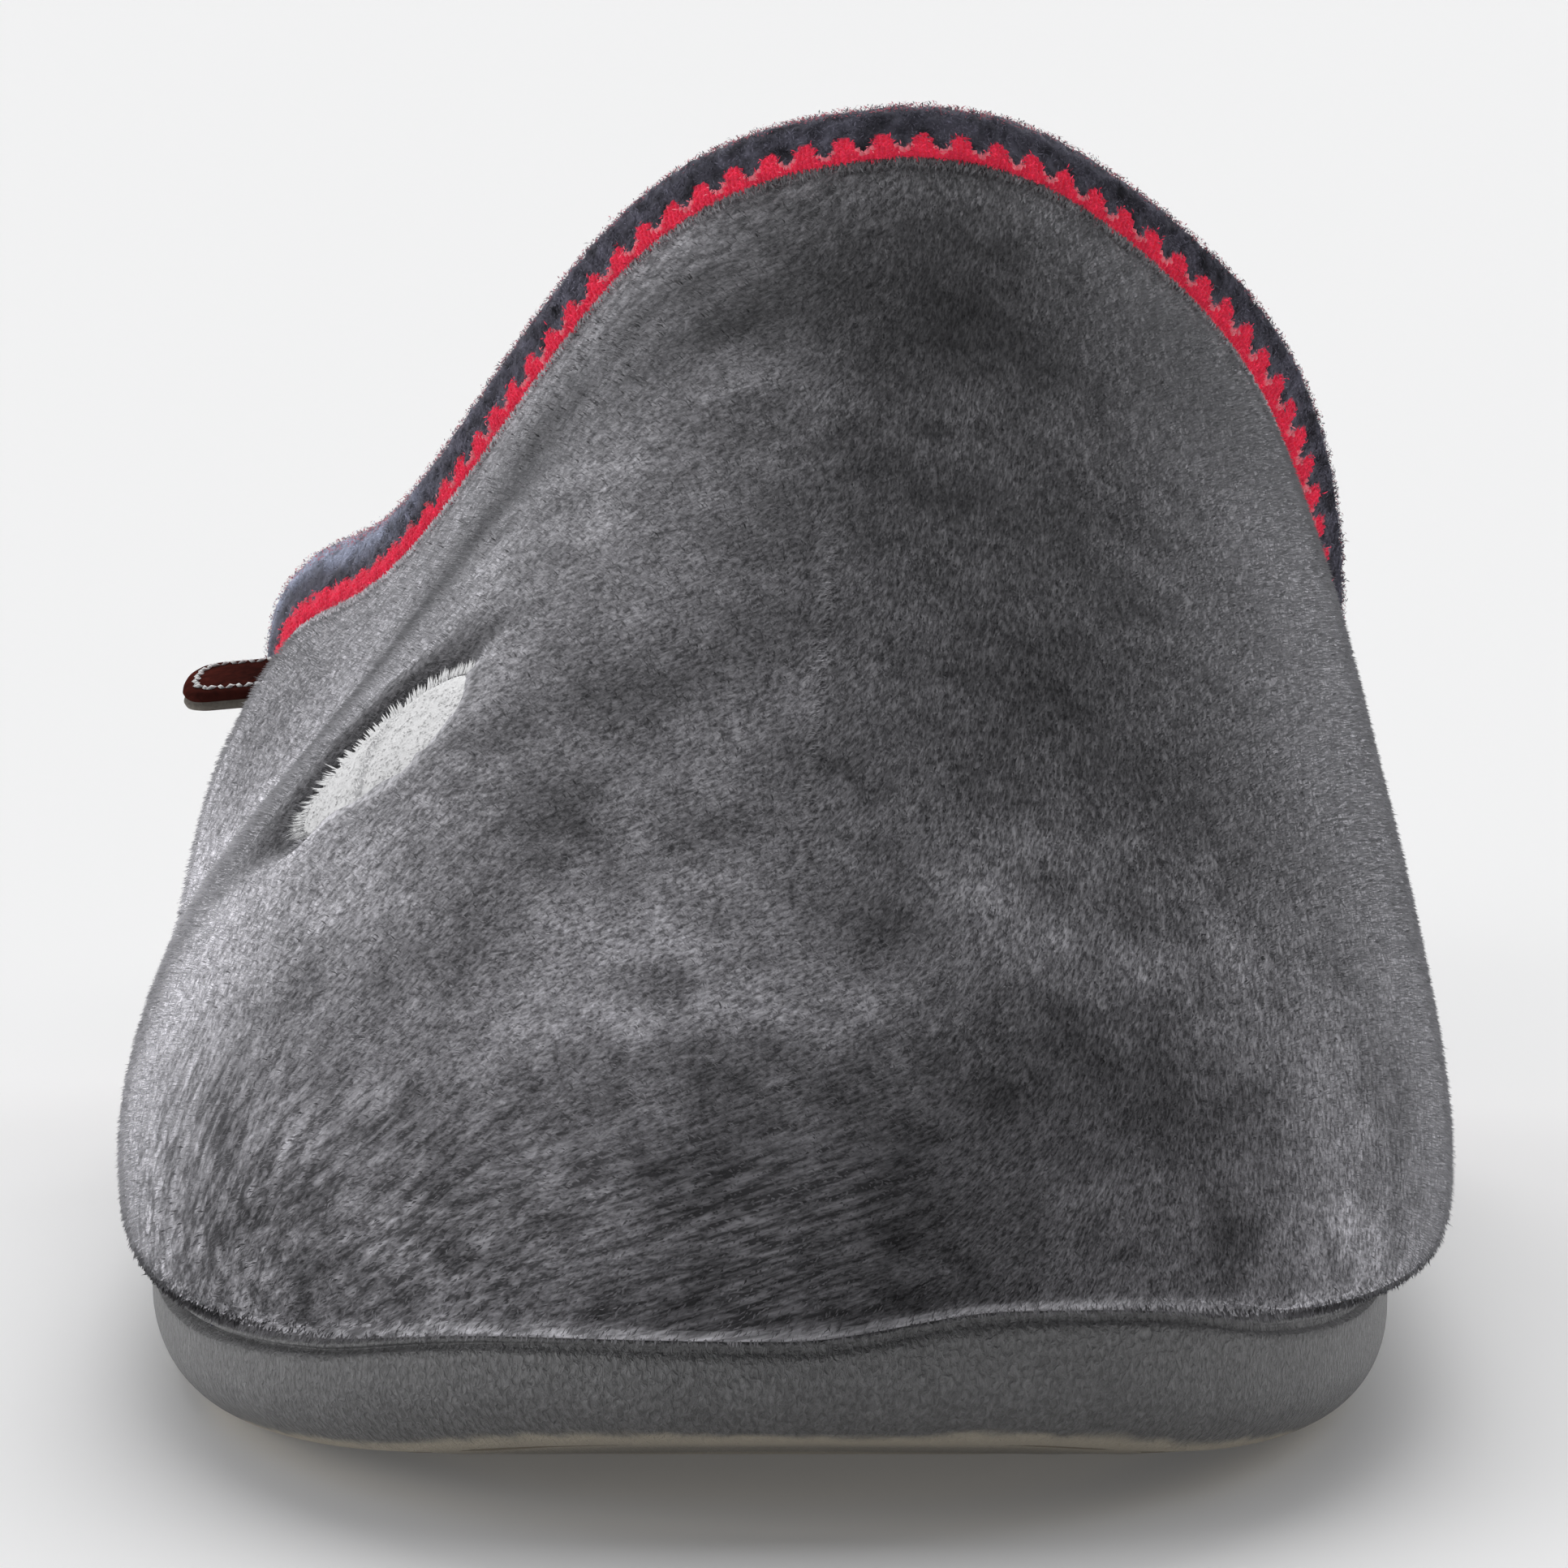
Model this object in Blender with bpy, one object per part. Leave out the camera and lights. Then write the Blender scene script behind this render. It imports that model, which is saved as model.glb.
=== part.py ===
"""Right-foot mule slipper: a velour upper on a moulded sole, with a knitted collar, a side tab and a badge.

Metres, +Z up. The toe points to -Y and the inner side of the foot is +X.
The origin is on the floor, under the middle of the slipper's box.
Along the foot, t is the distance behind the sole's toe tip.
"""
import math

import bmesh
import bpy
import numpy as np

MM = 0.001
GAP = 0.3 * MM

# Driving sizes
SOLE_LENGTH = 285 * MM
BALL = 88 * MM
HEEL_CENTRE = 245 * MM
TOE_OVERHANG = 1.0 * MM
FEATHER_INSET = 1.2 * MM
WALL = 3.6 * MM
SIDE_BULGE = 0.6 * MM
MIDDLE = (SOLE_LENGTH + SIDE_BULGE - TOE_OVERHANG) / 2

# How square the toe and heel are in plan: 2 is an ellipse
LATERAL_TOE_POWER = 2.35
MEDIAL_TOE_POWER = 2.7
HEEL_POWER = 2.3

# Plan of the sole behind the ball, and how far the upper bulges past it
PLAN_COLUMNS = ("along", "lateral", "medial", "lateral_bulge", "medial_bulge")
PLAN = np.array([
    (88, 53.0, 50.4, 3.5, 6.1),
    (125, 52.0, 49.5, 3.5, 6.0),
    (165, 49.0, 46.5, 2.4, 5.7),
    (200, 45.0, 43.4, -0.8, -0.8),
    (245, 39.5, 38.5, -0.8, -0.8),
]) * MM

# Underside above the floor, and thickness from there to the sole's rim
SOLE_COLUMNS = ("along", "lift", "thickness")
SOLE = np.array([
    (0, 7.5, 8.9),
    (20, 3.2, 9.2),
    (42, 0.7, 9.5),
    (62, 0.0, 9.9),
    (125, 0.0, 12.0),
    (165, 1.5, 13.6),
    (205, 0.0, 17.0),
    (262, 0.0, 17.8),
    (285, 1.0, 17.0),
]) * MM

# The instep's crest: height of the top and its place to the inner side
CREST_COLUMNS = ("along", "height", "inward")
CREST = np.array([
    (0, 50, 0.0),
    (30, 56, 0.0),
    (60, 64.5, 1.0),
    (88, 74, 4.5),
    (115, 85, 8.0),
    (138, 95, 10.0),
    (165, 104, 10.5),
    (205, 112, 10.5),
]) * MM

# Cross-section of the upper: height is (1 - reach ** power) ** (1 / root), less a hollow on the outer side
FORM_COLUMNS = ("along", "lateral_power", "lateral_root", "lateral_hollow", "medial_power", "medial_root")
FORM = np.array([
    (0 * MM, 2.6, 2.1, 0.0, 2.6, 2.1),
    (30 * MM, 2.4, 2.0, 0.0, 2.45, 2.0),
    (60 * MM, 2.05, 1.75, 0.0, 2.25, 1.85),
    (88 * MM, 1.9, 1.6, 0.05, 2.25, 1.75),
    (125 * MM, 1.75, 1.55, 0.16, 2.1, 1.8),
    (155 * MM, 1.65, 2.3, 0.28, 1.9, 1.92),
    (205 * MM, 1.65, 2.3, 0.28, 1.9, 1.92),
])
HOLLOW_REACH = 0.74
HOLLOW_SPREAD = 0.34
HOLLOW_FADE = 12
LATERAL_RISE = 7.2 * MM
MEDIAL_RISE = 7.6 * MM
TUCK_POWER = 1.9
TUCK_ANGLE = math.radians(128)

# The collar's cut: share is 0 on the crest and 1 at the sole
COLLAR_COLUMNS = ("share", "lateral", "medial")
COLLAR = np.array([
    (0.0, 138 * MM, 138 * MM),
    (0.2, 149 * MM, 145 * MM),
    (0.35, 165 * MM, 154 * MM),
    (0.5, 180 * MM, 168 * MM),
    (0.75, 195 * MM, 186 * MM),
    (1.0, 200 * MM, 192 * MM),
])
EDGING_GAP = 0.8 * MM
EDGING_HEIGHT = 2.4 * MM
EDGING_PROUD = 0.3 * MM
ROLL_HEIGHT = 4.6 * MM
ROLL_PROUD = 0.8 * MM
COLLAR_END_SHARE = 0.86
COLLAR_STEADY_SHARE = 0.74

# How far the collar's band flares out of the wall, in degrees
FLARE_COLUMNS = ("across", "lean")
FLARE = np.array([(-1.0, 20.0), (0.15, 20.0), (0.5, 46.0), (1.0, 46.0)])
COLLAR_TURN = math.radians(18)

# The sole's side, from its rim to the floor
RIM_HEIGHT = 1.1 * MM
GROOVE_DEPTH = 0.5 * MM
EDGE_ROUND_HEIGHT = 6.0 * MM
EDGE_ROUND_INSET = 6.0 * MM
OUTSOLE_THICKNESS = 2.0 * MM

TREAD_GROOVE_WIDTH = 2.6 * MM
TREAD_GROOVE_DEPTH = 1.0 * MM
TREAD_BORDER = 11 * MM
TREAD_POINT = 7 * MM
TREAD_PITCH = 9.5 * MM
TREAD_FORE = (58 * MM, 132 * MM)
TREAD_HEEL = (208 * MM, 262 * MM)

INSOLE_THICKNESS = 5.0 * MM
INSOLE_INSET_COLUMNS = ("along", "inset")
INSOLE_INSET = np.array([(0, 6.8), (206, 6.8), (226, 2.0), (285, 2.0)]) * MM
INSOLE_EDGE_ROUND = 1.8 * MM

# Badge on the outer side of the instep, in the upper's own shares
BADGE_ACROSS = -0.288
BADGE_ALONG = 0.14
BADGE_HALF_ACROSS = 0.085
BADGE_HALF_ALONG = 0.075
BADGE_BANK = 1.5
BADGE_THICKNESS = 0.9 * MM
BADGE_SINK = 2.0 * MM

# Folded leather tab, sewn into the collar seam at the outer side
TAB_ACROSS = -0.58
TAB_ALONG = -0.9
TAB_LENGTH = 7.0 * MM
TAB_WIDTH = 11 * MM
TAB_THICKNESS = 1.9 * MM
TAB_DROOP = math.radians(6)
TAB_ROLL = math.radians(7)
TAB_STAND = 0.9 * MM

# Rows of the upper's mesh: even ones, and closer ones round the badge
UPPER_ACROSS = 32
UPPER_TOE_ROWS = 12
UPPER_REAR_ROWS = 12
UPPER_BADGE_ROWS = 9


def curve(where, table, columns, name):
    """Smooth curve through a column of a table, level at both ends and where the column turns or rests."""
    xs = table[:, 0]
    ys = table[:, columns.index(name)]
    slope = np.zeros_like(ys)
    steps = np.diff(ys)
    slope[1:-1] = np.where(steps[1:] * steps[:-1] > 0, (ys[2:] - ys[:-2]) / (xs[2:] - xs[:-2]), 0)
    where = np.clip(where, xs[0], xs[-1])
    i = np.clip(np.searchsorted(xs, where) - 1, 0, len(xs) - 2)
    span = xs[i + 1] - xs[i]
    s = (where - xs[i]) / span
    return (
        (1 + 2 * s) * (1 - s) ** 2 * ys[i]
        + s * (1 - s) ** 2 * span * slope[i]
        + s * s * (3 - 2 * s) * ys[i + 1]
        + s * s * (s - 1) * span * slope[i + 1]
    )


def by_side(lateral, where, table, columns, stem=""):
    """The lateral or the medial column, point by point."""
    outer = curve(where, table, columns, "lateral" + stem)
    inner = curve(where, table, columns, "medial" + stem)
    return np.where(lateral, outer, inner)


def lift(t):
    """Height of the sole's underside above the floor."""
    return curve(t, SOLE, SOLE_COLUMNS, "lift")


def rim_top(t):
    """Height of the sole's rim."""
    return lift(t) + curve(t, SOLE, SOLE_COLUMNS, "thickness")


def toe_plan(angle, lateral_grow, medial_grow, toe_grow):
    """Plan point on the toe's rounded end, angle 0 straight ahead and -90 degrees to the outer side."""
    s = np.sin(angle)
    c = np.cos(angle)
    power = np.where(s < 0, LATERAL_TOE_POWER, MEDIAL_TOE_POWER)
    width = np.where(s < 0, PLAN[0, 1] + lateral_grow, PLAN[0, 2] + medial_grow)
    reach = ((np.abs(s) / width) ** power + (np.abs(c) / (BALL + toe_grow)) ** power) ** (-1 / power)
    return reach * s, BALL - reach * c


def upper_form(across, along):
    """Outer face of the upper without the badge's hollow, as points (x, t, z).

    across runs from -1, the outer feather edge, over the crest to 1, the inner one.
    along runs from -1, the collar, through 0, the ball, to 1, the feather edge of the toe.
    Ahead of the ball the two shares are bent into a half disc, so that no ribs meet in a point.
    """
    across, along = np.broadcast_arrays(np.asarray(across, float), np.asarray(along, float))
    is_toe = along > 0
    ahead = np.clip(along, 0, 1)
    u = across * np.sqrt(1 - ahead ** 2 / 2)
    v = ahead * np.sqrt(1 - across ** 2 / 2)
    angle = np.where(is_toe, np.arctan2(u, np.where(is_toe, v, 1)), np.sign(across) * math.pi / 2)
    turn = np.hypot(u, v) * TUCK_ANGLE
    lateral = across < 0
    side = np.where(lateral, -1, 1)

    share = np.abs(across)
    cut = by_side(lateral, share, COLLAR, COLLAR_COLUMNS)
    rear = BALL + np.clip(-along, 0, 1) * (cut - BALL)
    half = by_side(lateral, rear, PLAN, PLAN_COLUMNS)
    bulge = by_side(lateral, rear, PLAN, PLAN_COLUMNS, "_bulge")
    toe_wide = toe_plan(angle, PLAN[0, 3], PLAN[0, 4], TOE_OVERHANG)
    toe_feather = toe_plan(angle, -FEATHER_INSET, -FEATHER_INSET, -FEATHER_INSET)
    wide_x = np.where(is_toe, toe_wide[0], side * (half + bulge))
    wide_t = np.where(is_toe, toe_wide[1], rear)
    feather_x = np.where(is_toe, toe_feather[0], side * (half - FEATHER_INSET))
    feather_t = np.where(is_toe, toe_feather[1], rear)

    top_t = np.where(is_toe, BALL, rear)
    top_x = curve(top_t, CREST, CREST_COLUMNS, "inward")
    reach = np.sin(np.clip(turn, 0, math.pi / 2))
    tuck = (1 - np.sin(np.clip(turn, math.pi / 2, None))) / (1 - math.sin(TUCK_ANGLE))
    tuck = np.clip(tuck, 0, 1) ** TUCK_POWER
    is_tuck = turn > math.pi / 2
    x = np.where(is_tuck, wide_x + (feather_x - wide_x) * tuck, top_x + (wide_x - top_x) * reach)
    t = np.where(is_tuck, wide_t + (feather_t - wide_t) * tuck, top_t + (wide_t - top_t) * reach)

    power = by_side(lateral, t, FORM, FORM_COLUMNS, "_power")
    root = by_side(lateral, t, FORM, FORM_COLUMNS, "_root")
    hollow = np.where(lateral, curve(t, FORM, FORM_COLUMNS, "lateral_hollow"), 0)
    rise = np.where(lateral, LATERAL_RISE, MEDIAL_RISE)
    wide_z = rim_top(t) + GAP + rise
    height = np.clip(1 - reach ** power, 0, 1) ** (1 / root)
    hollow = hollow * np.exp(-(((reach - HOLLOW_REACH) / HOLLOW_SPREAD) ** 2))
    height = height - hollow * (1 - reach ** HOLLOW_FADE)
    crest = curve(t, CREST, CREST_COLUMNS, "height")
    z = np.where(
        is_tuck,
        wide_z - rise * np.cos(turn) / math.cos(TUCK_ANGLE),
        wide_z + (crest - wide_z) * height,
    )
    return np.stack([x, t, z], -1)


def unit(v):
    return v / np.linalg.norm(v, axis=-1, keepdims=True)


def upper_frame(across, along, step=1e-3):
    """Point, direction across, direction towards the toe, and outward normal of the upper's form."""
    across, along = np.broadcast_arrays(np.asarray(across, float), np.asarray(along, float))
    low = np.clip(across - step, -1, 1)
    high = np.clip(across + step, -1, 1)
    back = np.clip(along - step, -1, 1)
    front = np.clip(along + step, -1, 1)
    sideways = unit(upper_form(high, along) - upper_form(low, along))
    forward = unit(upper_form(across, front) - upper_form(across, back))
    return upper_form(across, along), sideways, forward, unit(np.cross(forward, sideways))


def upper_outer(across, along):
    """Outer face of the upper, pressed in round the badge."""
    point, _, _, normal = upper_frame(across, along)
    far = np.hypot((across - BADGE_ACROSS) / BADGE_HALF_ACROSS, (along - BADGE_ALONG) / BADGE_HALF_ALONG)
    bank = np.clip((far - 1.05) / (BADGE_BANK - 1.05), 0, 1)
    sink = BADGE_SINK * (1 - bank * bank * (3 - 2 * bank))
    return point - normal * sink[..., None]


def world(points):
    """From (x, t, z) to the slipper's frame."""
    points = np.asarray(points, float).copy()
    points[..., 1] -= MIDDLE
    return points


def plain_material(name, colour, roughness):
    material = bpy.data.materials.new(name)
    material.use_nodes = True
    shader = material.node_tree.nodes["Principled BSDF"]
    shader.inputs["Base Color"].default_value = (*colour, 1)
    shader.inputs["Roughness"].default_value = roughness
    shader.inputs["Metallic"].default_value = 0
    return material


def add_object(name, points, faces, material):
    """A mesh object from points in (x, t, z), smooth shaded except at sharp edges."""
    mesh = bpy.data.meshes.new(name)
    mesh.from_pydata([tuple(p) for p in world(points)], [], faces)
    mesh.validate()
    mesh.shade_smooth()
    mesh.set_sharp_from_angle(angle=math.radians(40))
    mesh.materials.append(material)
    thing = bpy.data.objects.new(name, mesh)
    bpy.context.scene.collection.objects.link(thing)
    return thing


def outward(thing):
    """Turns the faces of a closed mesh outwards."""
    mesh = thing.data
    body = bmesh.new()
    body.from_mesh(mesh)
    bmesh.ops.remove_doubles(body, verts=body.verts, dist=1e-6)
    bmesh.ops.recalc_face_normals(body, faces=body.faces)
    if body.calc_volume(signed=True) < 0:
        bmesh.ops.reverse_faces(body, faces=body.faces)
    body.to_mesh(mesh)
    body.free()
    return thing


def grid_faces(rows, columns, first=0):
    """Quads of a grid of points, row by row."""
    faces = []
    for i in range(rows - 1):
        for j in range(columns - 1):
            a = first + i * columns + j
            faces.append((a, a + columns, a + columns + 1, a + 1))
    return faces


def half_outline(lateral, heel_points=13, side_points=15, toe_points=19):
    """Plan of one side of the sole from the heel's end to the toe's tip."""
    side = -1 if lateral else 1
    width = PLAN[-1, 1] if lateral else PLAN[-1, 2]
    length = SOLE_LENGTH - HEEL_CENTRE
    angle = np.linspace(0, math.pi / 2, heel_points)
    s = np.sin(angle)
    c = np.cos(angle)
    reach = ((s / width) ** HEEL_POWER + (c / length) ** HEEL_POWER) ** (-1 / HEEL_POWER)
    heel = np.stack([side * reach * s, HEEL_CENTRE + reach * c], -1)
    t = np.linspace(HEEL_CENTRE, BALL, side_points)[1:-1]
    flank = np.stack([side * by_side(lateral, t, PLAN, PLAN_COLUMNS), t], -1)
    angle = np.linspace(math.pi / 2, 0, toe_points)
    toe = np.stack(toe_plan(side * angle, 0, 0, 0), -1)
    return np.concatenate([heel, flank, toe])


def sole_outline():
    """Closed plan of the sole with its outward normals: outer side from heel to toe, inner side back."""
    outer = half_outline(True)
    inner = half_outline(False)
    plan = np.concatenate([outer, inner[-2:0:-1]])
    ahead = np.roll(plan, -1, axis=0) - np.roll(plan, 1, axis=0)
    normal = unit(np.stack([ahead[:, 1], -ahead[:, 0]], -1))
    return plan, normal


def ring(plan, normal, out, height):
    """One closed ring round the sole, moved outwards and set at a height that follows t."""
    out = np.broadcast_to(out, (len(plan),))
    moved = plan + normal * out[:, None]
    return np.column_stack([moved, height(moved[:, 1])])


def ringed_solid(name, rings, material):
    """Closed solid between rings round the sole, with its first and last ring filled across."""
    count = len(rings[0])
    pairs = count // 2
    points = np.concatenate(rings)
    faces = []
    for k in range(len(rings) - 1):
        for i in range(count):
            j = (i + 1) % count
            faces.append((k * count + i, k * count + j, (k + 1) * count + j, (k + 1) * count + i))
    for first in (0, (len(rings) - 1) * count):
        for i in range(pairs):
            left = (first + i, first + i + 1)
            right = (first + (count - i) % count, first + (count - i - 1) % count)
            face = (left[0], left[1], right[1], right[0])
            faces.append(tuple(dict.fromkeys(face)))
    return outward(add_object(name, points, faces, material))


def edge_round(height):
    """How far out the sole's side lies, at a height above the underside."""
    low = np.clip(1 - height / EDGE_ROUND_HEIGHT, 0, 1)
    return SIDE_BULGE - (EDGE_ROUND_INSET + SIDE_BULGE) * (1 - math.sqrt(1 - low * low))


def make_midsole(material):
    plan, normal = sole_outline()
    rings = []
    rim_rows = (
        (-0.8 * MM, 0.0),
        (-0.2 * MM, -0.15 * MM),
        (0.0, -0.5 * MM),
        (0.0, -RIM_HEIGHT),
        (-GROOVE_DEPTH, -RIM_HEIGHT - 0.3 * MM),
        (0.1 * MM, -RIM_HEIGHT - 0.9 * MM),
    )
    for out, below in rim_rows:
        rings.append(ring(plan, normal, out, lambda t, below=below: rim_top(t) + below))
    for above in (6.0 * MM, 5.0 * MM, 4.0 * MM, 3.0 * MM, OUTSOLE_THICKNESS + GAP):
        rings.append(ring(plan, normal, edge_round(above), lambda t, above=above: lift(t) + above))
    return ringed_solid("midsole", rings, material)


def tread_cutter(material):
    """Shallow chevron grooves across the forefoot and the heel."""
    points = []
    faces = []
    for start, end in (TREAD_FORE, TREAD_HEEL):
        for t in np.arange(start, end, TREAD_PITCH):
            left = -float(by_side(True, t, PLAN, PLAN_COLUMNS)) + TREAD_BORDER
            right = float(by_side(False, t, PLAN, PLAN_COLUMNS)) - TREAD_BORDER
            middle = (left + right) / 2
            top = float(lift(t)) + TREAD_GROOVE_DEPTH
            first = len(points)
            for x, ahead in ((left, 0.0), (middle, -TREAD_POINT), (right, 0.0)):
                for z in (-2 * MM, top):
                    points.append((x, t + ahead, z))
                    points.append((x, t + ahead + TREAD_GROOVE_WIDTH, z))
            for k in (0, 4):
                a = first + k
                faces.append((a, a + 1, a + 5, a + 4))
                faces.append((a + 2, a + 6, a + 7, a + 3))
                faces.append((a, a + 4, a + 6, a + 2))
                faces.append((a + 1, a + 3, a + 7, a + 5))
            faces.append((first, first + 2, first + 3, first + 1))
            faces.append((first + 8, first + 9, first + 11, first + 10))
    cutter = outward(add_object("tread_cutter", points, faces, material))
    cutter.hide_render = True
    cutter.display_type = "WIRE"
    return cutter


def make_outsole(material):
    plan, normal = sole_outline()
    rings = []
    for above in (OUTSOLE_THICKNESS, 1.2 * MM, 0.5 * MM, 0.0):
        rings.append(ring(plan, normal, edge_round(above), lambda t, above=above: lift(t) + above))
    outsole = ringed_solid("outsole", rings, material)
    cut = outsole.modifiers.new("tread", "BOOLEAN")
    cut.operation = "DIFFERENCE"
    cut.object = tread_cutter(material)
    return outsole


def make_insole(material):
    plan, normal = sole_outline()
    inset = curve(plan[:, 1], INSOLE_INSET, INSOLE_INSET_COLUMNS, "inset")
    r = INSOLE_EDGE_ROUND
    rows = (
        (0.4 * r, GAP),
        (0.0, GAP + 0.4 * r),
        (0.0, INSOLE_THICKNESS - r),
        (0.3 * r, INSOLE_THICKNESS - 0.3 * r),
        (1.0 * r, INSOLE_THICKNESS),
    )
    rings = []
    for inward, above in rows:
        rings.append(ring(plan, normal, -inset - inward, lambda t, above=above: rim_top(t) + above))
    return ringed_solid("insole", rings, material)


def closer_rows(even, middle, half):
    """Even rows, with those round the badge replaced by closer ones."""
    reach = half * BADGE_BANK * 1.05
    kept = even[np.abs(even - middle) > reach * 1.15]
    return np.sort(np.concatenate([kept, np.linspace(middle - reach, middle + reach, UPPER_BADGE_ROWS)]))


def make_upper(material):
    across = closer_rows(np.linspace(-1, 1, UPPER_ACROSS + 1), BADGE_ACROSS, BADGE_HALF_ACROSS)
    rear = np.linspace(-1, 0, UPPER_REAR_ROWS + 1)
    toe = np.linspace(0, 1, UPPER_TOE_ROWS + 1)[1:]
    along = closer_rows(np.concatenate([rear, toe]), BADGE_ALONG, BADGE_HALF_ALONG)
    points = upper_outer(across[None, :], along[:, None]).reshape(-1, 3)
    upper = add_object("upper", points, grid_faces(len(along), len(across)), material)
    wall = upper.modifiers.new("wall", "SOLIDIFY")
    wall.thickness = WALL
    wall.offset = -1
    wall.use_quality_normals = True
    return upper


def collar_frames(count):
    """Points along the collar's edge with the directions out of the wall and past its edge, with the flare.

    Where the wall tucks in to the sole the directions stay those of the wall above.
    """
    across = np.linspace(-COLLAR_END_SHARE, COLLAR_END_SHARE, count)
    edge = np.full(count, -1.0)
    point = upper_form(across, edge)
    steady = np.clip(across, -COLLAR_STEADY_SHARE, COLLAR_STEADY_SHARE)
    _, sideways, forward, normal = upper_frame(steady, edge)
    past = unit(-forward + sideways * np.sum(forward * sideways, -1, keepdims=True))
    for _ in range(12):
        past[1:-1] = (past[:-2] + 2 * past[1:-1] + past[2:]) / 4
        normal[1:-1] = (normal[:-2] + 2 * normal[1:-1] + normal[2:]) / 4
    normal = unit(normal)
    past = unit(past - normal * np.sum(past * normal, -1, keepdims=True))
    lean = np.radians(curve(across, FLARE, FLARE_COLUMNS, "lean"))[:, None]
    out = normal * math.cos(COLLAR_TURN) - past * math.sin(COLLAR_TURN)
    return point, out, past * np.cos(lean) + normal * np.sin(lean)


def collar_band(name, rows, material, count=49):
    """A band along the collar: rows of (out of the wall, past its edge) swept along the edge."""
    point, normal, past = collar_frames(count)
    rows = np.asarray(rows)
    sections = (
        point[:, None, :]
        + normal[:, None, :] * rows[None, :, 0, None]
        + past[:, None, :] * rows[None, :, 1, None]
    )
    points = sections.reshape(-1, 3)
    size = len(rows)
    faces = []
    for i in range(count - 1):
        for j in range(size):
            k = (j + 1) % size
            faces.append((i * size + j, i * size + k, (i + 1) * size + k, (i + 1) * size + j))
    faces.append(tuple(range(size)))
    faces.append(tuple(range((count - 1) * size, count * size)))
    return outward(add_object(name, points, faces, material))


def make_collar_edging(material):
    """Red knitted edge between the velour and the roll."""
    out = EDGING_PROUD
    back = -WALL - EDGING_PROUD
    low = EDGING_GAP
    high = EDGING_GAP + EDGING_HEIGHT
    middle = (low + high) / 2
    rows = (
        (out - 0.3 * MM, low),
        (out, middle),
        (out - 0.3 * MM, high),
        (back + 0.3 * MM, high),
        (back, middle),
        (back + 0.3 * MM, low),
    )
    return collar_band("collar_edging", rows, material)


def make_collar_roll(material):
    """Rolled navy knit that finishes the collar."""
    low = EDGING_GAP + EDGING_HEIGHT + GAP
    middle = -WALL / 2
    half = WALL / 2 + ROLL_PROUD
    rows = [(middle + half - 0.4 * MM, low)]
    for angle in np.linspace(-0.15 * math.pi, 1.15 * math.pi, 9):
        lean = half * math.cos(angle)
        past = low + ROLL_HEIGHT * (0.5 + 0.5 * math.sin(angle))
        rows.append((middle + lean, past))
    rows.append((middle - half + 0.4 * MM, low))
    return collar_band("collar_roll", rows, material)


def make_badge(material):
    """Embroidered oval that lies in the hollow of the upper and bends with it."""
    spokes = 24
    angles = np.linspace(0, 2 * math.pi, spokes, endpoint=False)
    low = 0.5 * MM
    high = low + BADGE_THICKNESS
    levels = (
        (0.0, low),
        (0.5, low),
        (0.92, low),
        (0.95, low + 0.4 * BADGE_THICKNESS),
        (0.85, high),
        (0.5, high),
        (0.0, high),
    )
    points = []
    for share, above in levels:
        across = BADGE_ACROSS + BADGE_HALF_ACROSS * share * np.cos(angles)
        along = BADGE_ALONG + BADGE_HALF_ALONG * share * np.sin(angles)
        point, _, _, normal = upper_frame(across, along)
        points.append(point + normal * (above - BADGE_SINK))
    faces = []
    for k in range(len(levels) - 1):
        for i in range(spokes):
            j = (i + 1) % spokes
            faces.append((k * spokes + i, k * spokes + j, (k + 1) * spokes + j, (k + 1) * spokes + i))
    return outward(add_object("badge", np.concatenate(points), faces, material))


def make_side_tab(material):
    """Folded leather tongue with a round end, standing out from the collar seam."""
    root, _, _, normal = upper_frame(TAB_ACROSS, TAB_ALONG)
    out = unit(np.array([normal[0], normal[1], 0.0]))
    out = out * math.cos(TAB_DROOP) - np.array([0, 0, math.sin(TAB_DROOP)])
    along = unit(np.cross(np.array([0, 0, 1.0]), out))
    up = np.cross(out, along)
    rolled = along * math.cos(TAB_ROLL) - up * math.sin(TAB_ROLL)
    up = np.cross(out, rolled)
    half = TAB_WIDTH / 2
    outline = [(0.0, -half), (0.0, half)]
    for angle in np.linspace(math.pi / 2, -math.pi / 2, 11):
        outline.append((TAB_LENGTH - 0.6 * half + 0.6 * half * math.cos(angle), half * math.sin(angle)))
    points = []
    levels = ((0.9, -0.5), (1.0, -0.32), (1.0, 0.32), (0.9, 0.5))
    centre = np.array([TAB_LENGTH / 2, 0.0])
    for share, level in levels:
        for reach, side in outline:
            edge = centre + share * (np.array([reach, side]) - centre)
            points.append(root + out * (edge[0] + TAB_STAND) + rolled * edge[1] + up * level * TAB_THICKNESS)
    size = len(outline)
    faces = []
    for k in range(len(levels) - 1):
        for i in range(size):
            j = (i + 1) % size
            faces.append((k * size + i, k * size + j, (k + 1) * size + j, (k + 1) * size + i))
    faces.append(tuple(range(size)))
    faces.append(tuple(range((len(levels) - 1) * size, len(levels) * size)))
    return outward(add_object("side_tab", points, faces, material))


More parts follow.
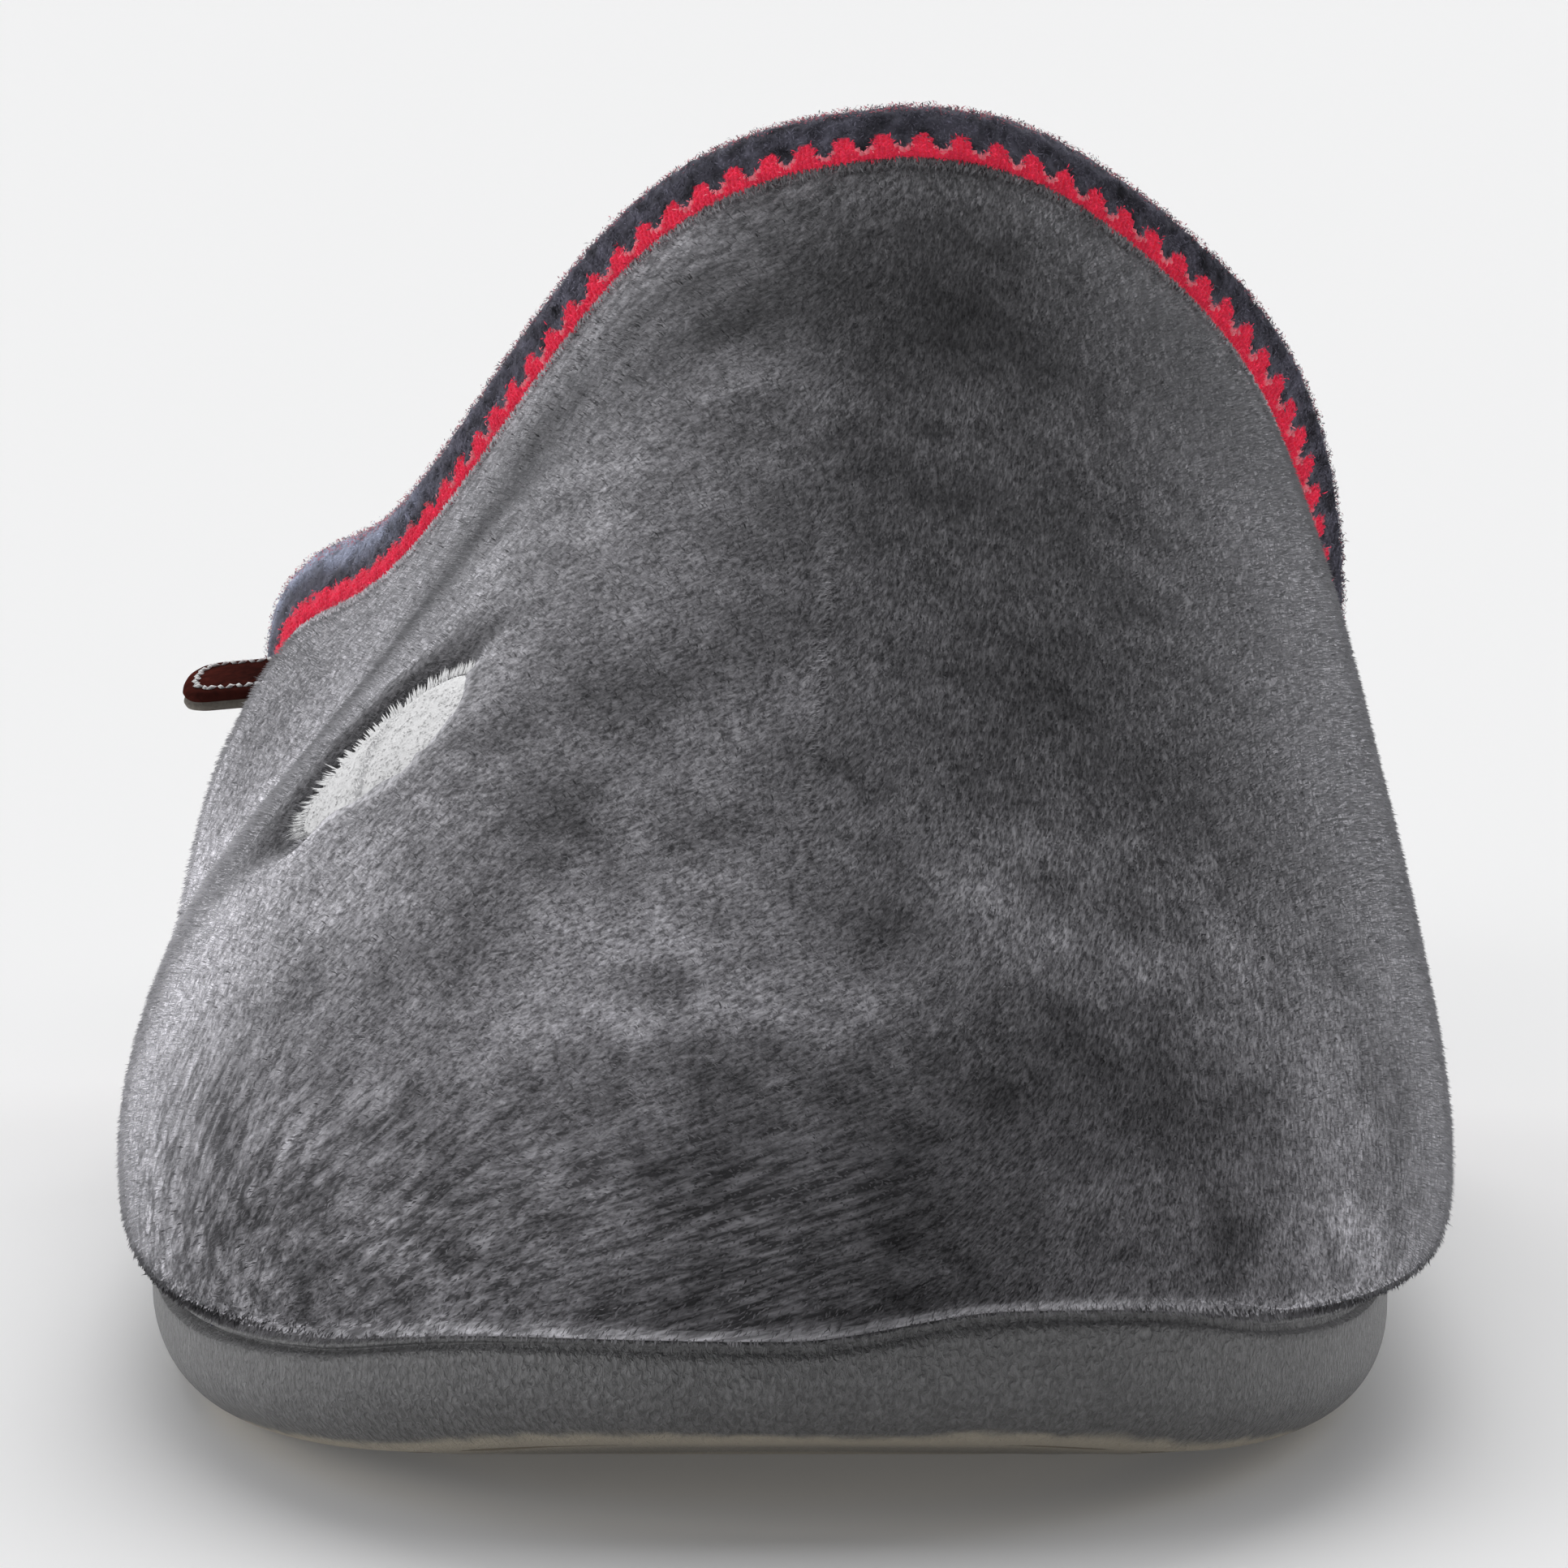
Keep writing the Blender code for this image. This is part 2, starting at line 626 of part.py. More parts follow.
def main():
    for old in list(bpy.data.objects):
        bpy.data.objects.remove(old)
    slipper = bpy.data.objects.new("slipper", None)
    bpy.context.scene.collection.objects.link(slipper)
    grey_velour = plain_material("grey_velour", (0.075, 0.073, 0.078), 0.95)
    grey_sole = plain_material("grey_sole", (0.11, 0.11, 0.112), 0.6)
    beige_rubber = plain_material("beige_rubber", (0.33, 0.29, 0.23), 0.7)
    navy_fleece = plain_material("navy_fleece", (0.035, 0.042, 0.07), 0.95)
    navy_knit = plain_material("navy_knit", (0.022, 0.024, 0.034), 0.95)
    red_knit = plain_material("red_knit", (0.62, 0.018, 0.045), 0.9)
    brown_leather = plain_material("brown_leather", (0.035, 0.017, 0.014), 0.35)
    white_thread = plain_material("white_thread", (0.8, 0.8, 0.8), 0.8)
    pieces = (
        make_outsole(beige_rubber),
        make_midsole(grey_sole),
        make_insole(navy_fleece),
        make_upper(grey_velour),
        make_collar_edging(red_knit),
        make_collar_roll(navy_knit),
        make_badge(white_thread),
        make_side_tab(brown_leather),
    )
    for piece in pieces:
        piece.parent = slipper


main()
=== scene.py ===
"""Looks of a right-foot mule slipper: velour upper, knitted collar, grained sole, leather tab and sewn badge.

Metres, +Z up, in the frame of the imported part. The toe points to -Y and the inner side of the foot is +X.
Along the foot, t is the distance behind the sole's toe tip, and surfaces are worked out as points (x, t, z).
"""
import math

import bpy
import numpy as np
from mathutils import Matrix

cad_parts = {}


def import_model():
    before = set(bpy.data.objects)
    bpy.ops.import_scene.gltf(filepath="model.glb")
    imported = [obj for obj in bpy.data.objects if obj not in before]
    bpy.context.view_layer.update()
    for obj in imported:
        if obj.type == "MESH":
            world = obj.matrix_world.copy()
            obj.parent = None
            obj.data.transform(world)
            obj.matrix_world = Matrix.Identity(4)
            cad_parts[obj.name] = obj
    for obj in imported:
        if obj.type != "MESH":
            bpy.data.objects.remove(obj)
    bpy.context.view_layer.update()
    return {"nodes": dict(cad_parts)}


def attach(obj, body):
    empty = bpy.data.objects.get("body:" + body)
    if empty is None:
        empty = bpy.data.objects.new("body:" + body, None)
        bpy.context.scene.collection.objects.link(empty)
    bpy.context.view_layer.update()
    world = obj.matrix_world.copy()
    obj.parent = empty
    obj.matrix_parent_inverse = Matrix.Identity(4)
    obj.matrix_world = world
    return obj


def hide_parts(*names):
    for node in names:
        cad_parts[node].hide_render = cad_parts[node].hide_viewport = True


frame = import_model()
MM = 0.001
dice = np.random.default_rng(41)

# Sizes of the part, repeated from its source
GAP = 0.3 * MM
SOLE_LENGTH = 285 * MM
BALL = 88 * MM
HEEL_CENTRE = 245 * MM
TOE_OVERHANG = 1.0 * MM
FEATHER_INSET = 1.2 * MM
WALL = 3.6 * MM
SIDE_BULGE = 0.6 * MM
MIDDLE = (SOLE_LENGTH + SIDE_BULGE - TOE_OVERHANG) / 2
LATERAL_TOE_POWER = 2.35
MEDIAL_TOE_POWER = 2.7
HEEL_POWER = 2.3
PLAN_COLUMNS = ("along", "lateral", "medial", "lateral_bulge", "medial_bulge")
PLAN = np.array([
    (88, 53.0, 50.4, 3.5, 6.1),
    (125, 52.0, 49.5, 3.5, 6.0),
    (165, 49.0, 46.5, 2.4, 5.7),
    (200, 45.0, 43.4, -0.8, -0.8),
    (245, 39.5, 38.5, -0.8, -0.8),
]) * MM
SOLE_COLUMNS = ("along", "lift", "thickness")
SOLE = np.array([
    (0, 7.5, 8.9),
    (20, 3.2, 9.2),
    (42, 0.7, 9.5),
    (62, 0.0, 9.9),
    (125, 0.0, 12.0),
    (165, 1.5, 13.6),
    (205, 0.0, 17.0),
    (262, 0.0, 17.8),
    (285, 1.0, 17.0),
]) * MM
CREST_COLUMNS = ("along", "height", "inward")
CREST = np.array([
    (0, 50, 0.0),
    (30, 56, 0.0),
    (60, 64.5, 1.0),
    (88, 74, 4.5),
    (115, 85, 8.0),
    (138, 95, 10.0),
    (165, 104, 10.5),
    (205, 112, 10.5),
]) * MM
FORM_COLUMNS = ("along", "lateral_power", "lateral_root", "lateral_hollow", "medial_power", "medial_root")
FORM = np.array([
    (0 * MM, 2.6, 2.1, 0.0, 2.6, 2.1),
    (30 * MM, 2.4, 2.0, 0.0, 2.45, 2.0),
    (60 * MM, 2.05, 1.75, 0.0, 2.25, 1.85),
    (88 * MM, 1.9, 1.6, 0.05, 2.25, 1.75),
    (125 * MM, 1.75, 1.55, 0.16, 2.1, 1.8),
    (155 * MM, 1.65, 2.3, 0.28, 1.9, 1.92),
    (205 * MM, 1.65, 2.3, 0.28, 1.9, 1.92),
])
HOLLOW_REACH = 0.74
HOLLOW_SPREAD = 0.34
HOLLOW_FADE = 12
LATERAL_RISE = 7.2 * MM
MEDIAL_RISE = 7.6 * MM
TUCK_POWER = 1.9
TUCK_ANGLE = math.radians(128)
COLLAR_COLUMNS = ("share", "lateral", "medial")
COLLAR = np.array([
    (0.0, 138 * MM, 138 * MM),
    (0.2, 149 * MM, 145 * MM),
    (0.35, 165 * MM, 154 * MM),
    (0.5, 180 * MM, 168 * MM),
    (0.75, 195 * MM, 186 * MM),
    (1.0, 200 * MM, 192 * MM),
])
FLARE_COLUMNS = ("across", "lean")
FLARE = np.array([(-1.0, 20.0), (0.15, 20.0), (0.5, 46.0), (1.0, 46.0)])
COLLAR_TURN = math.radians(18)
COLLAR_END_SHARE = 0.86
COLLAR_STEADY_SHARE = 0.74
EDGE_ROUND_HEIGHT = 6.0 * MM
EDGE_ROUND_INSET = 6.0 * MM
INSOLE_INSET_COLUMNS = ("along", "inset")
INSOLE_INSET = np.array([(0, 6.8), (206, 6.8), (226, 2.0), (285, 2.0)]) * MM
BADGE_ACROSS = -0.288
BADGE_ALONG = 0.14
BADGE_HALF_ACROSS = 0.085
BADGE_HALF_ALONG = 0.075
BADGE_BANK = 1.5
BADGE_OVAL = 0.89
BADGE_SINK = 2.0 * MM
TAB_ACROSS = -0.58
TAB_ALONG = -0.9
TAB_LENGTH = 7.0 * MM
TAB_WIDTH = 11 * MM
TAB_THICKNESS = 1.9 * MM
TAB_DROOP = math.radians(6)
TAB_ROLL = math.radians(7)
TAB_STAND = 0.9 * MM

# Velour: colour and streaks, depths of its skin and of the lining under the part's face, and the fine fuzz
VELOUR = np.array([0.111, 0.109, 0.116])
PILE_SHEEN = 5.6
SHEEN_POWER = 4
FINE_STREAK = (0.62 * MM, 1.3 * MM, 0.2 * MM)
COMBED_RIDGE = (3.6 * MM, 2.2 * MM, 0.5 * MM)
SKIN_DEPTH = 0.35 * MM
LINING_DEPTH = WALL - 0.4 * MM
FUZZ_HAIRS = 180000
FUZZ_LENGTH = 0.68 * MM
FUZZ_WIDTH = 0.19 * MM

# Small changes of form that the pile and the padding make: pile over the sole's rim and a fuller collar end
PLUMP_OUT = 2.1 * MM
PLUMP_DOWN = 0.5 * MM
RIM_RAISE = 2.2 * MM
SHOULDER = 1.6 * MM
BAND_FIXED = 3.3 * MM
PUFF = 0.62
INNER_NARROW = 0.36
TOP_NARROW = 0.14
INNER_DIP = 1.3 * MM

# Colours of the lining's fleece, and a painted highlight: paler felt on the roll's top at the collar's outer
# end, where it faces the light above
FLEECE = np.array([0.11, 0.135, 0.225])
FELT_HIGHLIGHT = np.array([0.29, 0.32, 0.43])

# Colours of the collar's yarn, the sole and the badge's thread
RED = np.array([0.74, 0.032, 0.08])
DEEP_RED = np.array([0.54, 0.024, 0.06])
PALE_RED = np.array([0.7, 0.17, 0.21])
SOFT_RED = np.array([0.72, 0.16, 0.2])
WINE = np.array([0.55, 0.13, 0.17])
NAVY = np.array([0.092, 0.09, 0.118])
SOLE_GREY = (0.25, 0.25, 0.254, 1)
SOLE_DARK = (0.108, 0.108, 0.111, 1)
SOLE_WORN = (0.56, 0.5, 0.4, 1)
THREAD_WHITE = np.array([0.93, 0.93, 0.94])
THREAD_GREY = np.array([0.16, 0.16, 0.18])

# Lays of the nap that the plush skin mixes, as slopes in degrees seen from the front
NAP_LAYS = (18, 42, 66, 90)

# Nap of the velour as seen from the front: its slope in degrees by the distance to the inner side
NAP_COLUMNS = ("inward", "low", "high")
NAP = np.array([
    (-56, 75, 70),
    (-46, 60, 55),
    (-35, 42, 38),
    (-18, 27, 26),
    (-4, 18, 24),
    (8, 22, 50),
    (20, 50, 74),
    (32, 80, 86),
    (56, 92, 92),
])

# Light: soft suns behind by turn to the inner side, elevation and spread in degrees, and strength;
# and the tent's panels by direction, half spread in degrees and strength
SUNS = (
    (0, 40, 45, 1.6),
    (-38, 48, 80, 1.0),
    (38, 48, 80, 1.2),
)
BACKDROP = 0.87
FLOOR_GLOW = 0.06
PANELS = (
    (-1.0, -0.2, 0.0, 40, 2.2),
    (1.0, 0.1, 0.0, 40, 0.5),
    (0.0, -1.0, 0.3, 60, 0.1),
)

# Camera: focal length and image width in pixels, sensor in mm, angle over the floor, distance and aim
FOCAL_PIXELS = 16100
IMAGE_PIXELS = 1932
SENSOR_WIDTH = 36
CAMERA_ELEVATION = math.radians(9)
CAMERA_DISTANCE = 1.1
CAMERA_TARGET = np.array([0.0, 75 * MM - MIDDLE, 49 * MM])

# Knit of the collar: stitch sizes and the profile of the band as (out of the wall, past its edge)
STITCH_WIDTH = 0.44 * MM
STITCH_HEIGHT = 0.41 * MM
BAND_PROFILE = np.array([
    (-0.5, 0.1), (0.2, 0.8), (0.38, 1.7), (0.42, 2.6), (0.68, 3.5), (0.9, 4.6), (0.75, 6.0), (0.0, 7.1),
    (-1.2, 7.7), (-2.6, 7.6), (-3.8, 7.0), (-4.4, 5.8), (-4.5, 4.6), (-4.3, 3.2), (-4.0, 2.0), (-3.8, 0.6),
]) * MM

# One repeat of the border by half stitches, bottom row first: r is red, p is pale red, n is navy
BORDER_CHART = (
    "rrrrrrrr",
    "rrrrrrrr",
    "prrrrrrp",
    "nprrrrpn",
    "nnrrrrnn",
    "nnrrrrnn",
    "nnnrrnnn",
)
EDGING_ROWS = 5


def curve(where, table, columns, name):
    """Smooth curve through one column of a table, level at its ends and where the column turns or rests."""
    xs = table[:, 0]
    ys = table[:, columns.index(name)]
    slope = np.zeros_like(ys)
    steps = np.diff(ys)
    slope[1:-1] = np.where(steps[1:] * steps[:-1] > 0, (ys[2:] - ys[:-2]) / (xs[2:] - xs[:-2]), 0)
    where = np.clip(where, xs[0], xs[-1])
    i = np.clip(np.searchsorted(xs, where) - 1, 0, len(xs) - 2)
    span = xs[i + 1] - xs[i]
    s = (where - xs[i]) / span
    return (
        (1 + 2 * s) * (1 - s) ** 2 * ys[i]
        + s * (1 - s) ** 2 * span * slope[i]
        + s * s * (3 - 2 * s) * ys[i + 1]
        + s * s * (s - 1) * span * slope[i + 1]
    )


def by_side(lateral, where, table, columns, stem=""):
    """The lateral or the medial column, point by point."""
    outer = curve(where, table, columns, "lateral" + stem)
    inner = curve(where, table, columns, "medial" + stem)
    return np.where(lateral, outer, inner)


def lift(t):
    """Height of the sole's underside above the floor."""
    return curve(t, SOLE, SOLE_COLUMNS, "lift")


def rim_top(t):
    """Height of the sole's rim."""
    return lift(t) + curve(t, SOLE, SOLE_COLUMNS, "thickness")


def toe_plan(angle, lateral_grow, medial_grow, toe_grow):
    """Plan point on the toe's rounded end, angle 0 straight ahead and -90 degrees to the outer side."""
    s = np.sin(angle)
    c = np.cos(angle)
    power = np.where(s < 0, LATERAL_TOE_POWER, MEDIAL_TOE_POWER)
    width = np.where(s < 0, PLAN[0, 1] + lateral_grow, PLAN[0, 2] + medial_grow)
    reach = ((np.abs(s) / width) ** power + (np.abs(c) / (BALL + toe_grow)) ** power) ** (-1 / power)
    return reach * s, BALL - reach * c


def upper_form(across, along):
    """Outer face of the upper as points (x, t, z).

    across runs from -1, the outer feather edge, over the crest to 1, the inner one.
    along runs from -1, the collar, through 0, the ball, to 1, the feather edge of the toe.
    The section's height is (1 - reach ** power) ** (1 / root).
    Ahead of the ball the shares bend into a half disc.
    Bells of the share across make the collar's outer end fuller and its inner shoulder lower.
    """
    across, along = np.broadcast_arrays(np.asarray(across, float), np.asarray(along, float))
    is_toe = along > 0
    ahead = np.clip(along, 0, 1)
    u = across * np.sqrt(1 - ahead ** 2 / 2)
    v = ahead * np.sqrt(1 - across ** 2 / 2)
    angle = np.where(is_toe, np.arctan2(u, np.where(is_toe, v, 1)), np.sign(across) * math.pi / 2)
    turn = np.hypot(u, v) * TUCK_ANGLE
    lateral = across < 0
    side = np.where(lateral, -1, 1)

    share = np.abs(across)
    cut = by_side(lateral, share, COLLAR, COLLAR_COLUMNS)
    rear = BALL + np.clip(-along, 0, 1) * (cut - BALL)
    half = by_side(lateral, rear, PLAN, PLAN_COLUMNS)
    bulge = by_side(lateral, rear, PLAN, PLAN_COLUMNS, "_bulge")
    toe_wide = toe_plan(angle, PLAN[0, 3], PLAN[0, 4], TOE_OVERHANG)
    toe_feather = toe_plan(angle, -FEATHER_INSET, -FEATHER_INSET, -FEATHER_INSET)
    wide_x = np.where(is_toe, toe_wide[0], side * (half + bulge))
    wide_t = np.where(is_toe, toe_wide[1], rear)
    feather_x = np.where(is_toe, toe_feather[0], side * (half - FEATHER_INSET))
    feather_t = np.where(is_toe, toe_feather[1], rear)

    top_t = np.where(is_toe, BALL, rear)
    top_x = curve(top_t, CREST, CREST_COLUMNS, "inward")
    reach = np.sin(np.clip(turn, 0, math.pi / 2))
    tuck = (1 - np.sin(np.clip(turn, math.pi / 2, None))) / (1 - math.sin(TUCK_ANGLE))
    tuck = np.clip(tuck, 0, 1) ** TUCK_POWER
    is_tuck = turn > math.pi / 2
    x = np.where(is_tuck, wide_x + (feather_x - wide_x) * tuck, top_x + (wide_x - top_x) * reach)
    t = np.where(is_tuck, wide_t + (feather_t - wide_t) * tuck, top_t + (wide_t - top_t) * reach)

    power = by_side(lateral, t, FORM, FORM_COLUMNS, "_power")
    root = by_side(lateral, t, FORM, FORM_COLUMNS, "_root")
    hollow = np.where(lateral, curve(t, FORM, FORM_COLUMNS, "lateral_hollow"), 0)
    rise = np.where(lateral, LATERAL_RISE, MEDIAL_RISE)
    wide_z = rim_top(t) + GAP + rise
    height = np.clip(1 - reach ** power, 0, 1) ** (1 / root)
    hollow = hollow * np.exp(-(((reach - HOLLOW_REACH) / HOLLOW_SPREAD) ** 2))
    height = height - hollow * (1 - reach ** HOLLOW_FADE)
    crest = curve(t, CREST, CREST_COLUMNS, "height")
    z = np.where(
        is_tuck,
        wide_z - rise * np.cos(turn) / math.cos(TUCK_ANGLE),
        wide_z + (crest - wide_z) * height,
    )
    shoulder = SHOULDER * np.exp(-(((across + 0.58) / 0.1) ** 2)) * ease(-along, 0.7, 1.0)
    dip = INNER_DIP * np.exp(-(((across - 0.22) / 0.13) ** 2)) * ease(-along, 0.1, 1.0)
    return np.stack([x - shoulder - 0.6 * dip, t, z - 0.8 * dip], -1)


def unit(v):
    return v / np.maximum(np.linalg.norm(v, axis=-1, keepdims=True), 1e-12)


def dot(a, b):
    return np.sum(a * b, -1, keepdims=True)


def upper_frame(across, along, step=1e-3):
    """Point, direction across, direction towards the toe, and outward normal of the upper's form."""
    across, along = np.broadcast_arrays(np.asarray(across, float), np.asarray(along, float))
    low = np.clip(across - step, -1, 1)
    high = np.clip(across + step, -1, 1)
    back = np.clip(along - step, -1, 1)
    front = np.clip(along + step, -1, 1)
    sideways = unit(upper_form(high, along) - upper_form(low, along))
    forward = unit(upper_form(across, front) - upper_form(across, back))
    return upper_form(across, along), sideways, forward, unit(np.cross(forward, sideways))


def badge_shares(across, along):
    """Two shares of the way from the badge's middle to its rim, across and along the upper."""
    return (across - BADGE_ACROSS) / BADGE_HALF_ACROSS, (along - BADGE_ALONG) / BADGE_HALF_ALONG


def ease(value, low, high):
    """Smooth step from 0 at low to 1 at high."""
    s = np.clip((value - low) / (high - low), 0, 1)
    return s * s * (3 - 2 * s)


def wrap(across, along):
    """How far round the section a place lies, 1 at the feather edge, and its plan direction outwards."""
    across, along = np.broadcast_arrays(np.asarray(across, float), np.asarray(along, float))
    ahead = np.clip(along, 0, 1)
    u = across * np.sqrt(1 - ahead ** 2 / 2)
    v = ahead * np.sqrt(1 - across ** 2 / 2)
    angle = np.where(along > 0, np.arctan2(u, v), np.sign(across) * math.pi / 2)
    return np.hypot(u, v), np.stack([np.sin(angle), -np.cos(angle), 0 * angle], -1)


def lip_shown(x, t):
    """1 at the front of the outer side, where the sole's lip shows under the velour, and 0 elsewhere."""
    return ease(x, -14 * MM, -36 * MM) * ease(t, 110 * MM, 60 * MM)


def rim_raise(x, t):
    """How much higher the pile meets the sole round the inner front corner."""
    corner = 1 - 0.25 * ease(x, 30 * MM, 46 * MM)
    return RIM_RAISE * ease(x, 0, 18 * MM) * ease(t, 95 * MM, 55 * MM) * corner


def upper_outer(across, along):
    """Outer face of the upper, pressed in round the badge and plump over the sole, with its normal.

    The press is a soft trough on the badge's far side and a steep bank towards the toe and the crest.
    """
    point, _, _, normal = upper_frame(across, along)
    a, b = badge_shares(across, along)
    near = ease((a + b) / math.sqrt(2), -0.3, 0.4)
    far = np.hypot(a, b)
    trough = 1 - ease(far, 1.0, BADGE_BANK + 0.35)
    bank = 1 - ease(far, 0.68, 0.84)
    ends = 1 - ease(np.abs(a - b) / math.sqrt(2), 0.75, 1.45)
    sink = BADGE_SINK * (trough * ends * (1 - near) + bank * near)
    point = point - normal * sink[..., None]
    share, out = wrap(across, along)
    plump = ease(share, 0.8, 1.0) * (1 - 0.4 * lip_shown(point[..., 0], point[..., 1]))
    inner = 1 - 0.5 * ease(point[..., 0], 20 * MM, 44 * MM)
    point = point + out * (PLUMP_OUT * plump * inner)[..., None]
    point[..., 2] += (rim_raise(point[..., 0], point[..., 1]) - PLUMP_DOWN) * plump
    return point, normal


def travelled(points):
    """Distance along a line of points from its first."""
    return np.concatenate([[0], np.cumsum(np.linalg.norm(np.diff(points, axis=0), axis=1))])


def taken(where, length, field):
    """A field along a line, taken straight between its points at given distances."""
    return np.stack([np.interp(where, length, field[:, k]) for k in range(field.shape[1])], -1)


def smoothed(field, width):
    """A field along a line, averaged under a bell that spans an odd number of points."""
    kernel = np.hanning(width)
    kernel /= kernel.sum()
    more = width // 2
    padded = np.concatenate([np.repeat(field[:1], more, 0), field, np.repeat(field[-1:], more, 0)])
    return np.stack([np.convolve(padded[:, k], kernel, "valid") for k in range(field.shape[1])], -1)


def half_outline(lateral, heel_points, side_points, toe_points):
    """Plan of one side of the sole from the heel's end to the toe's tip."""
    side = -1 if lateral else 1
    width = PLAN[-1, 1] if lateral else PLAN[-1, 2]
    length = SOLE_LENGTH - HEEL_CENTRE
    angle = np.linspace(0, math.pi / 2, heel_points)
    s = np.sin(angle)
    c = np.cos(angle)
    reach = ((s / width) ** HEEL_POWER + (c / length) ** HEEL_POWER) ** (-1 / HEEL_POWER)
    heel = np.stack([side * reach * s, HEEL_CENTRE + reach * c], -1)
    t = np.linspace(HEEL_CENTRE, BALL, side_points)[1:-1]
    flank = np.stack([side * by_side(lateral, t, PLAN, PLAN_COLUMNS), t], -1)
    angle = np.linspace(math.pi / 2, 0, toe_points)
    toe = np.stack(toe_plan(side * angle, 0, 0, 0), -1)
    return np.concatenate([heel, flank, toe])


def sole_outline(count):
    """Plan of the sole in even steps, from the heel by the outer side to the toe and back, and normals."""
    outer = half_outline(True, 120, 200, 240)
    inner = half_outline(False, 120, 200, 240)
    plan = np.concatenate([outer, inner[-2::-1]])
    length = travelled(plan)
    even = np.linspace(0, length[-1], count + 1)[:-1]
    plan = taken(even, length, plan)
    ahead = np.roll(plan, -1, axis=0) - np.roll(plan, 1, axis=0)
    normal = unit(np.stack([ahead[:, 1], -ahead[:, 0]], -1))
    return plan, normal, even


def edge_round(height):
    """How far out the sole's side lies, at a height above the underside."""
    low = np.clip(1 - height / EDGE_ROUND_HEIGHT, 0, 1)
    return SIDE_BULGE - (EDGE_ROUND_INSET + SIDE_BULGE) * (1 - np.sqrt(1 - low * low))


def collar_frames(count):
    """Points along the collar's edge in even steps, with the directions out of the wall and past its edge."""
    dense = 961
    across = np.linspace(-COLLAR_END_SHARE, COLLAR_END_SHARE, dense)
    edge = np.full(dense, -1.0)
    point = upper_form(across, edge)
    steady = np.clip(across, -COLLAR_STEADY_SHARE, COLLAR_STEADY_SHARE)
    _, sideways, forward, normal = upper_frame(steady, edge)
    past = unit(-forward + sideways * dot(forward, sideways))
    normal = unit(smoothed(normal, 161))
    past = smoothed(past, 161)
    past = unit(past - normal * dot(past, normal))
    lean = np.radians(curve(across, FLARE, FLARE_COLUMNS, "lean"))[:, None]
    tilted = past * np.cos(lean) + normal * np.sin(lean)
    out = normal * math.cos(COLLAR_TURN) - past * math.sin(COLLAR_TURN)
    length = travelled(point)
    even = np.linspace(0, length[-1], count)
    point, out, tilted = (taken(even, length, field) for field in (point, out, tilted))
    return point, unit(out), unit(tilted), np.interp(even, length, across), even


def noise(points, size, seed):
    """Smooth random field from -1 to 1: random values on a cubic lattice of the given size, eased between."""
    q = np.asarray(points) / size + 1000.0 + seed * 31.7
    cell = np.floor(q).astype(np.uint64)
    s = q - np.floor(q)
    s = s * s * (3 - 2 * s)
    total = np.zeros(q.shape[:-1])
    for corner in np.ndindex(2, 2, 2):
        pick = np.array(corner)
        key = (cell + pick.astype(np.uint64)) * np.array([374761393, 668265263, 2246822519], np.uint64)
        h = key[..., 0] + key[..., 1] + key[..., 2] + np.uint64(seed * 7919)
        h = (h ^ (h >> np.uint64(13))) * np.uint64(1274126177)
        h = (h ^ (h >> np.uint64(16))) & np.uint64(0xFFFF)
        weight = np.prod(np.where(pick == 1, s, 1 - s), -1)
        total += weight * (h.astype(float) / 32767.5 - 1)
    return total


def world(points):
    """From (x, t, z) to the slipper's frame."""
    points = np.array(points, float)
    points[..., 1] -= MIDDLE
    return points


def make_mesh(name, points, faces, materials, uv=None, paint=None, normals=None, slots=None):
    """A smooth mesh object from points (x, t, z) and arrays of faces, with its maps, paint and normals."""
    mesh = bpy.data.meshes.new(name)
    points = world(points).reshape(-1, 3)
    faces = faces if isinstance(faces, (list, tuple)) else [faces]
    corners = np.concatenate([np.asarray(f).ravel() for f in faces]).astype(np.int32)
    sizes = np.concatenate([np.full(len(f), np.asarray(f).shape[1]) for f in faces])
    starts = np.concatenate([[0], np.cumsum(sizes)[:-1]]).astype(np.int32)
    mesh.vertices.add(len(points))
    mesh.vertices.foreach_set("co", points.astype(np.float32).ravel())
    mesh.loops.add(len(corners))
    mesh.loops.foreach_set("vertex_index", corners)
    mesh.polygons.add(len(starts))
    mesh.polygons.foreach_set("loop_start", starts)
    mesh.update(calc_edges=True)
    for material in materials:
        mesh.materials.append(material)
    if slots is not None:
        mesh.polygons.foreach_set("material_index", np.asarray(slots, np.int32))
    for title, place in (uv or {}).items():
        layer = mesh.uv_layers.new(name=title)
        layer.uv.foreach_set("vector", np.asarray(place, np.float32)[corners].ravel())
    for title, value in (paint or {}).items():
        layer = mesh.attributes.new(title, "FLOAT_COLOR", "POINT")
        colour = np.ones((len(points), 4), np.float32)
        colour[:, :value.shape[1]] = value
        layer.data.foreach_set("color", colour.ravel())
    mesh.shade_smooth()
    if normals is not None:
        mesh.normals_split_custom_set_from_vertices(normals.reshape(-1, 3).astype(np.float32))
    piece = bpy.data.objects.new(name, mesh)
    bpy.context.scene.collection.objects.link(piece)
    return piece


def add_piece(name, slot, *parts, **more):
    """A mesh object that is part of the slipper, attached to the root body; the slot argument is not used."""
    piece = make_mesh(name, *parts, **more)
    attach(piece, "root")
    return piece


def grid_faces(rows, columns, closed=False, first=0):
    """Quads of a grid of points, row by row, and round from the last column to the first where closed."""
    i, j = np.meshgrid(np.arange(rows - 1), np.arange(columns if closed else columns - 1), indexing="ij")
    k = (j + 1) % columns
    quads = np.stack([i * columns + j, (i + 1) * columns + j, (i + 1) * columns + k, i * columns + k], -1)
    return first + quads.reshape(-1, 4)


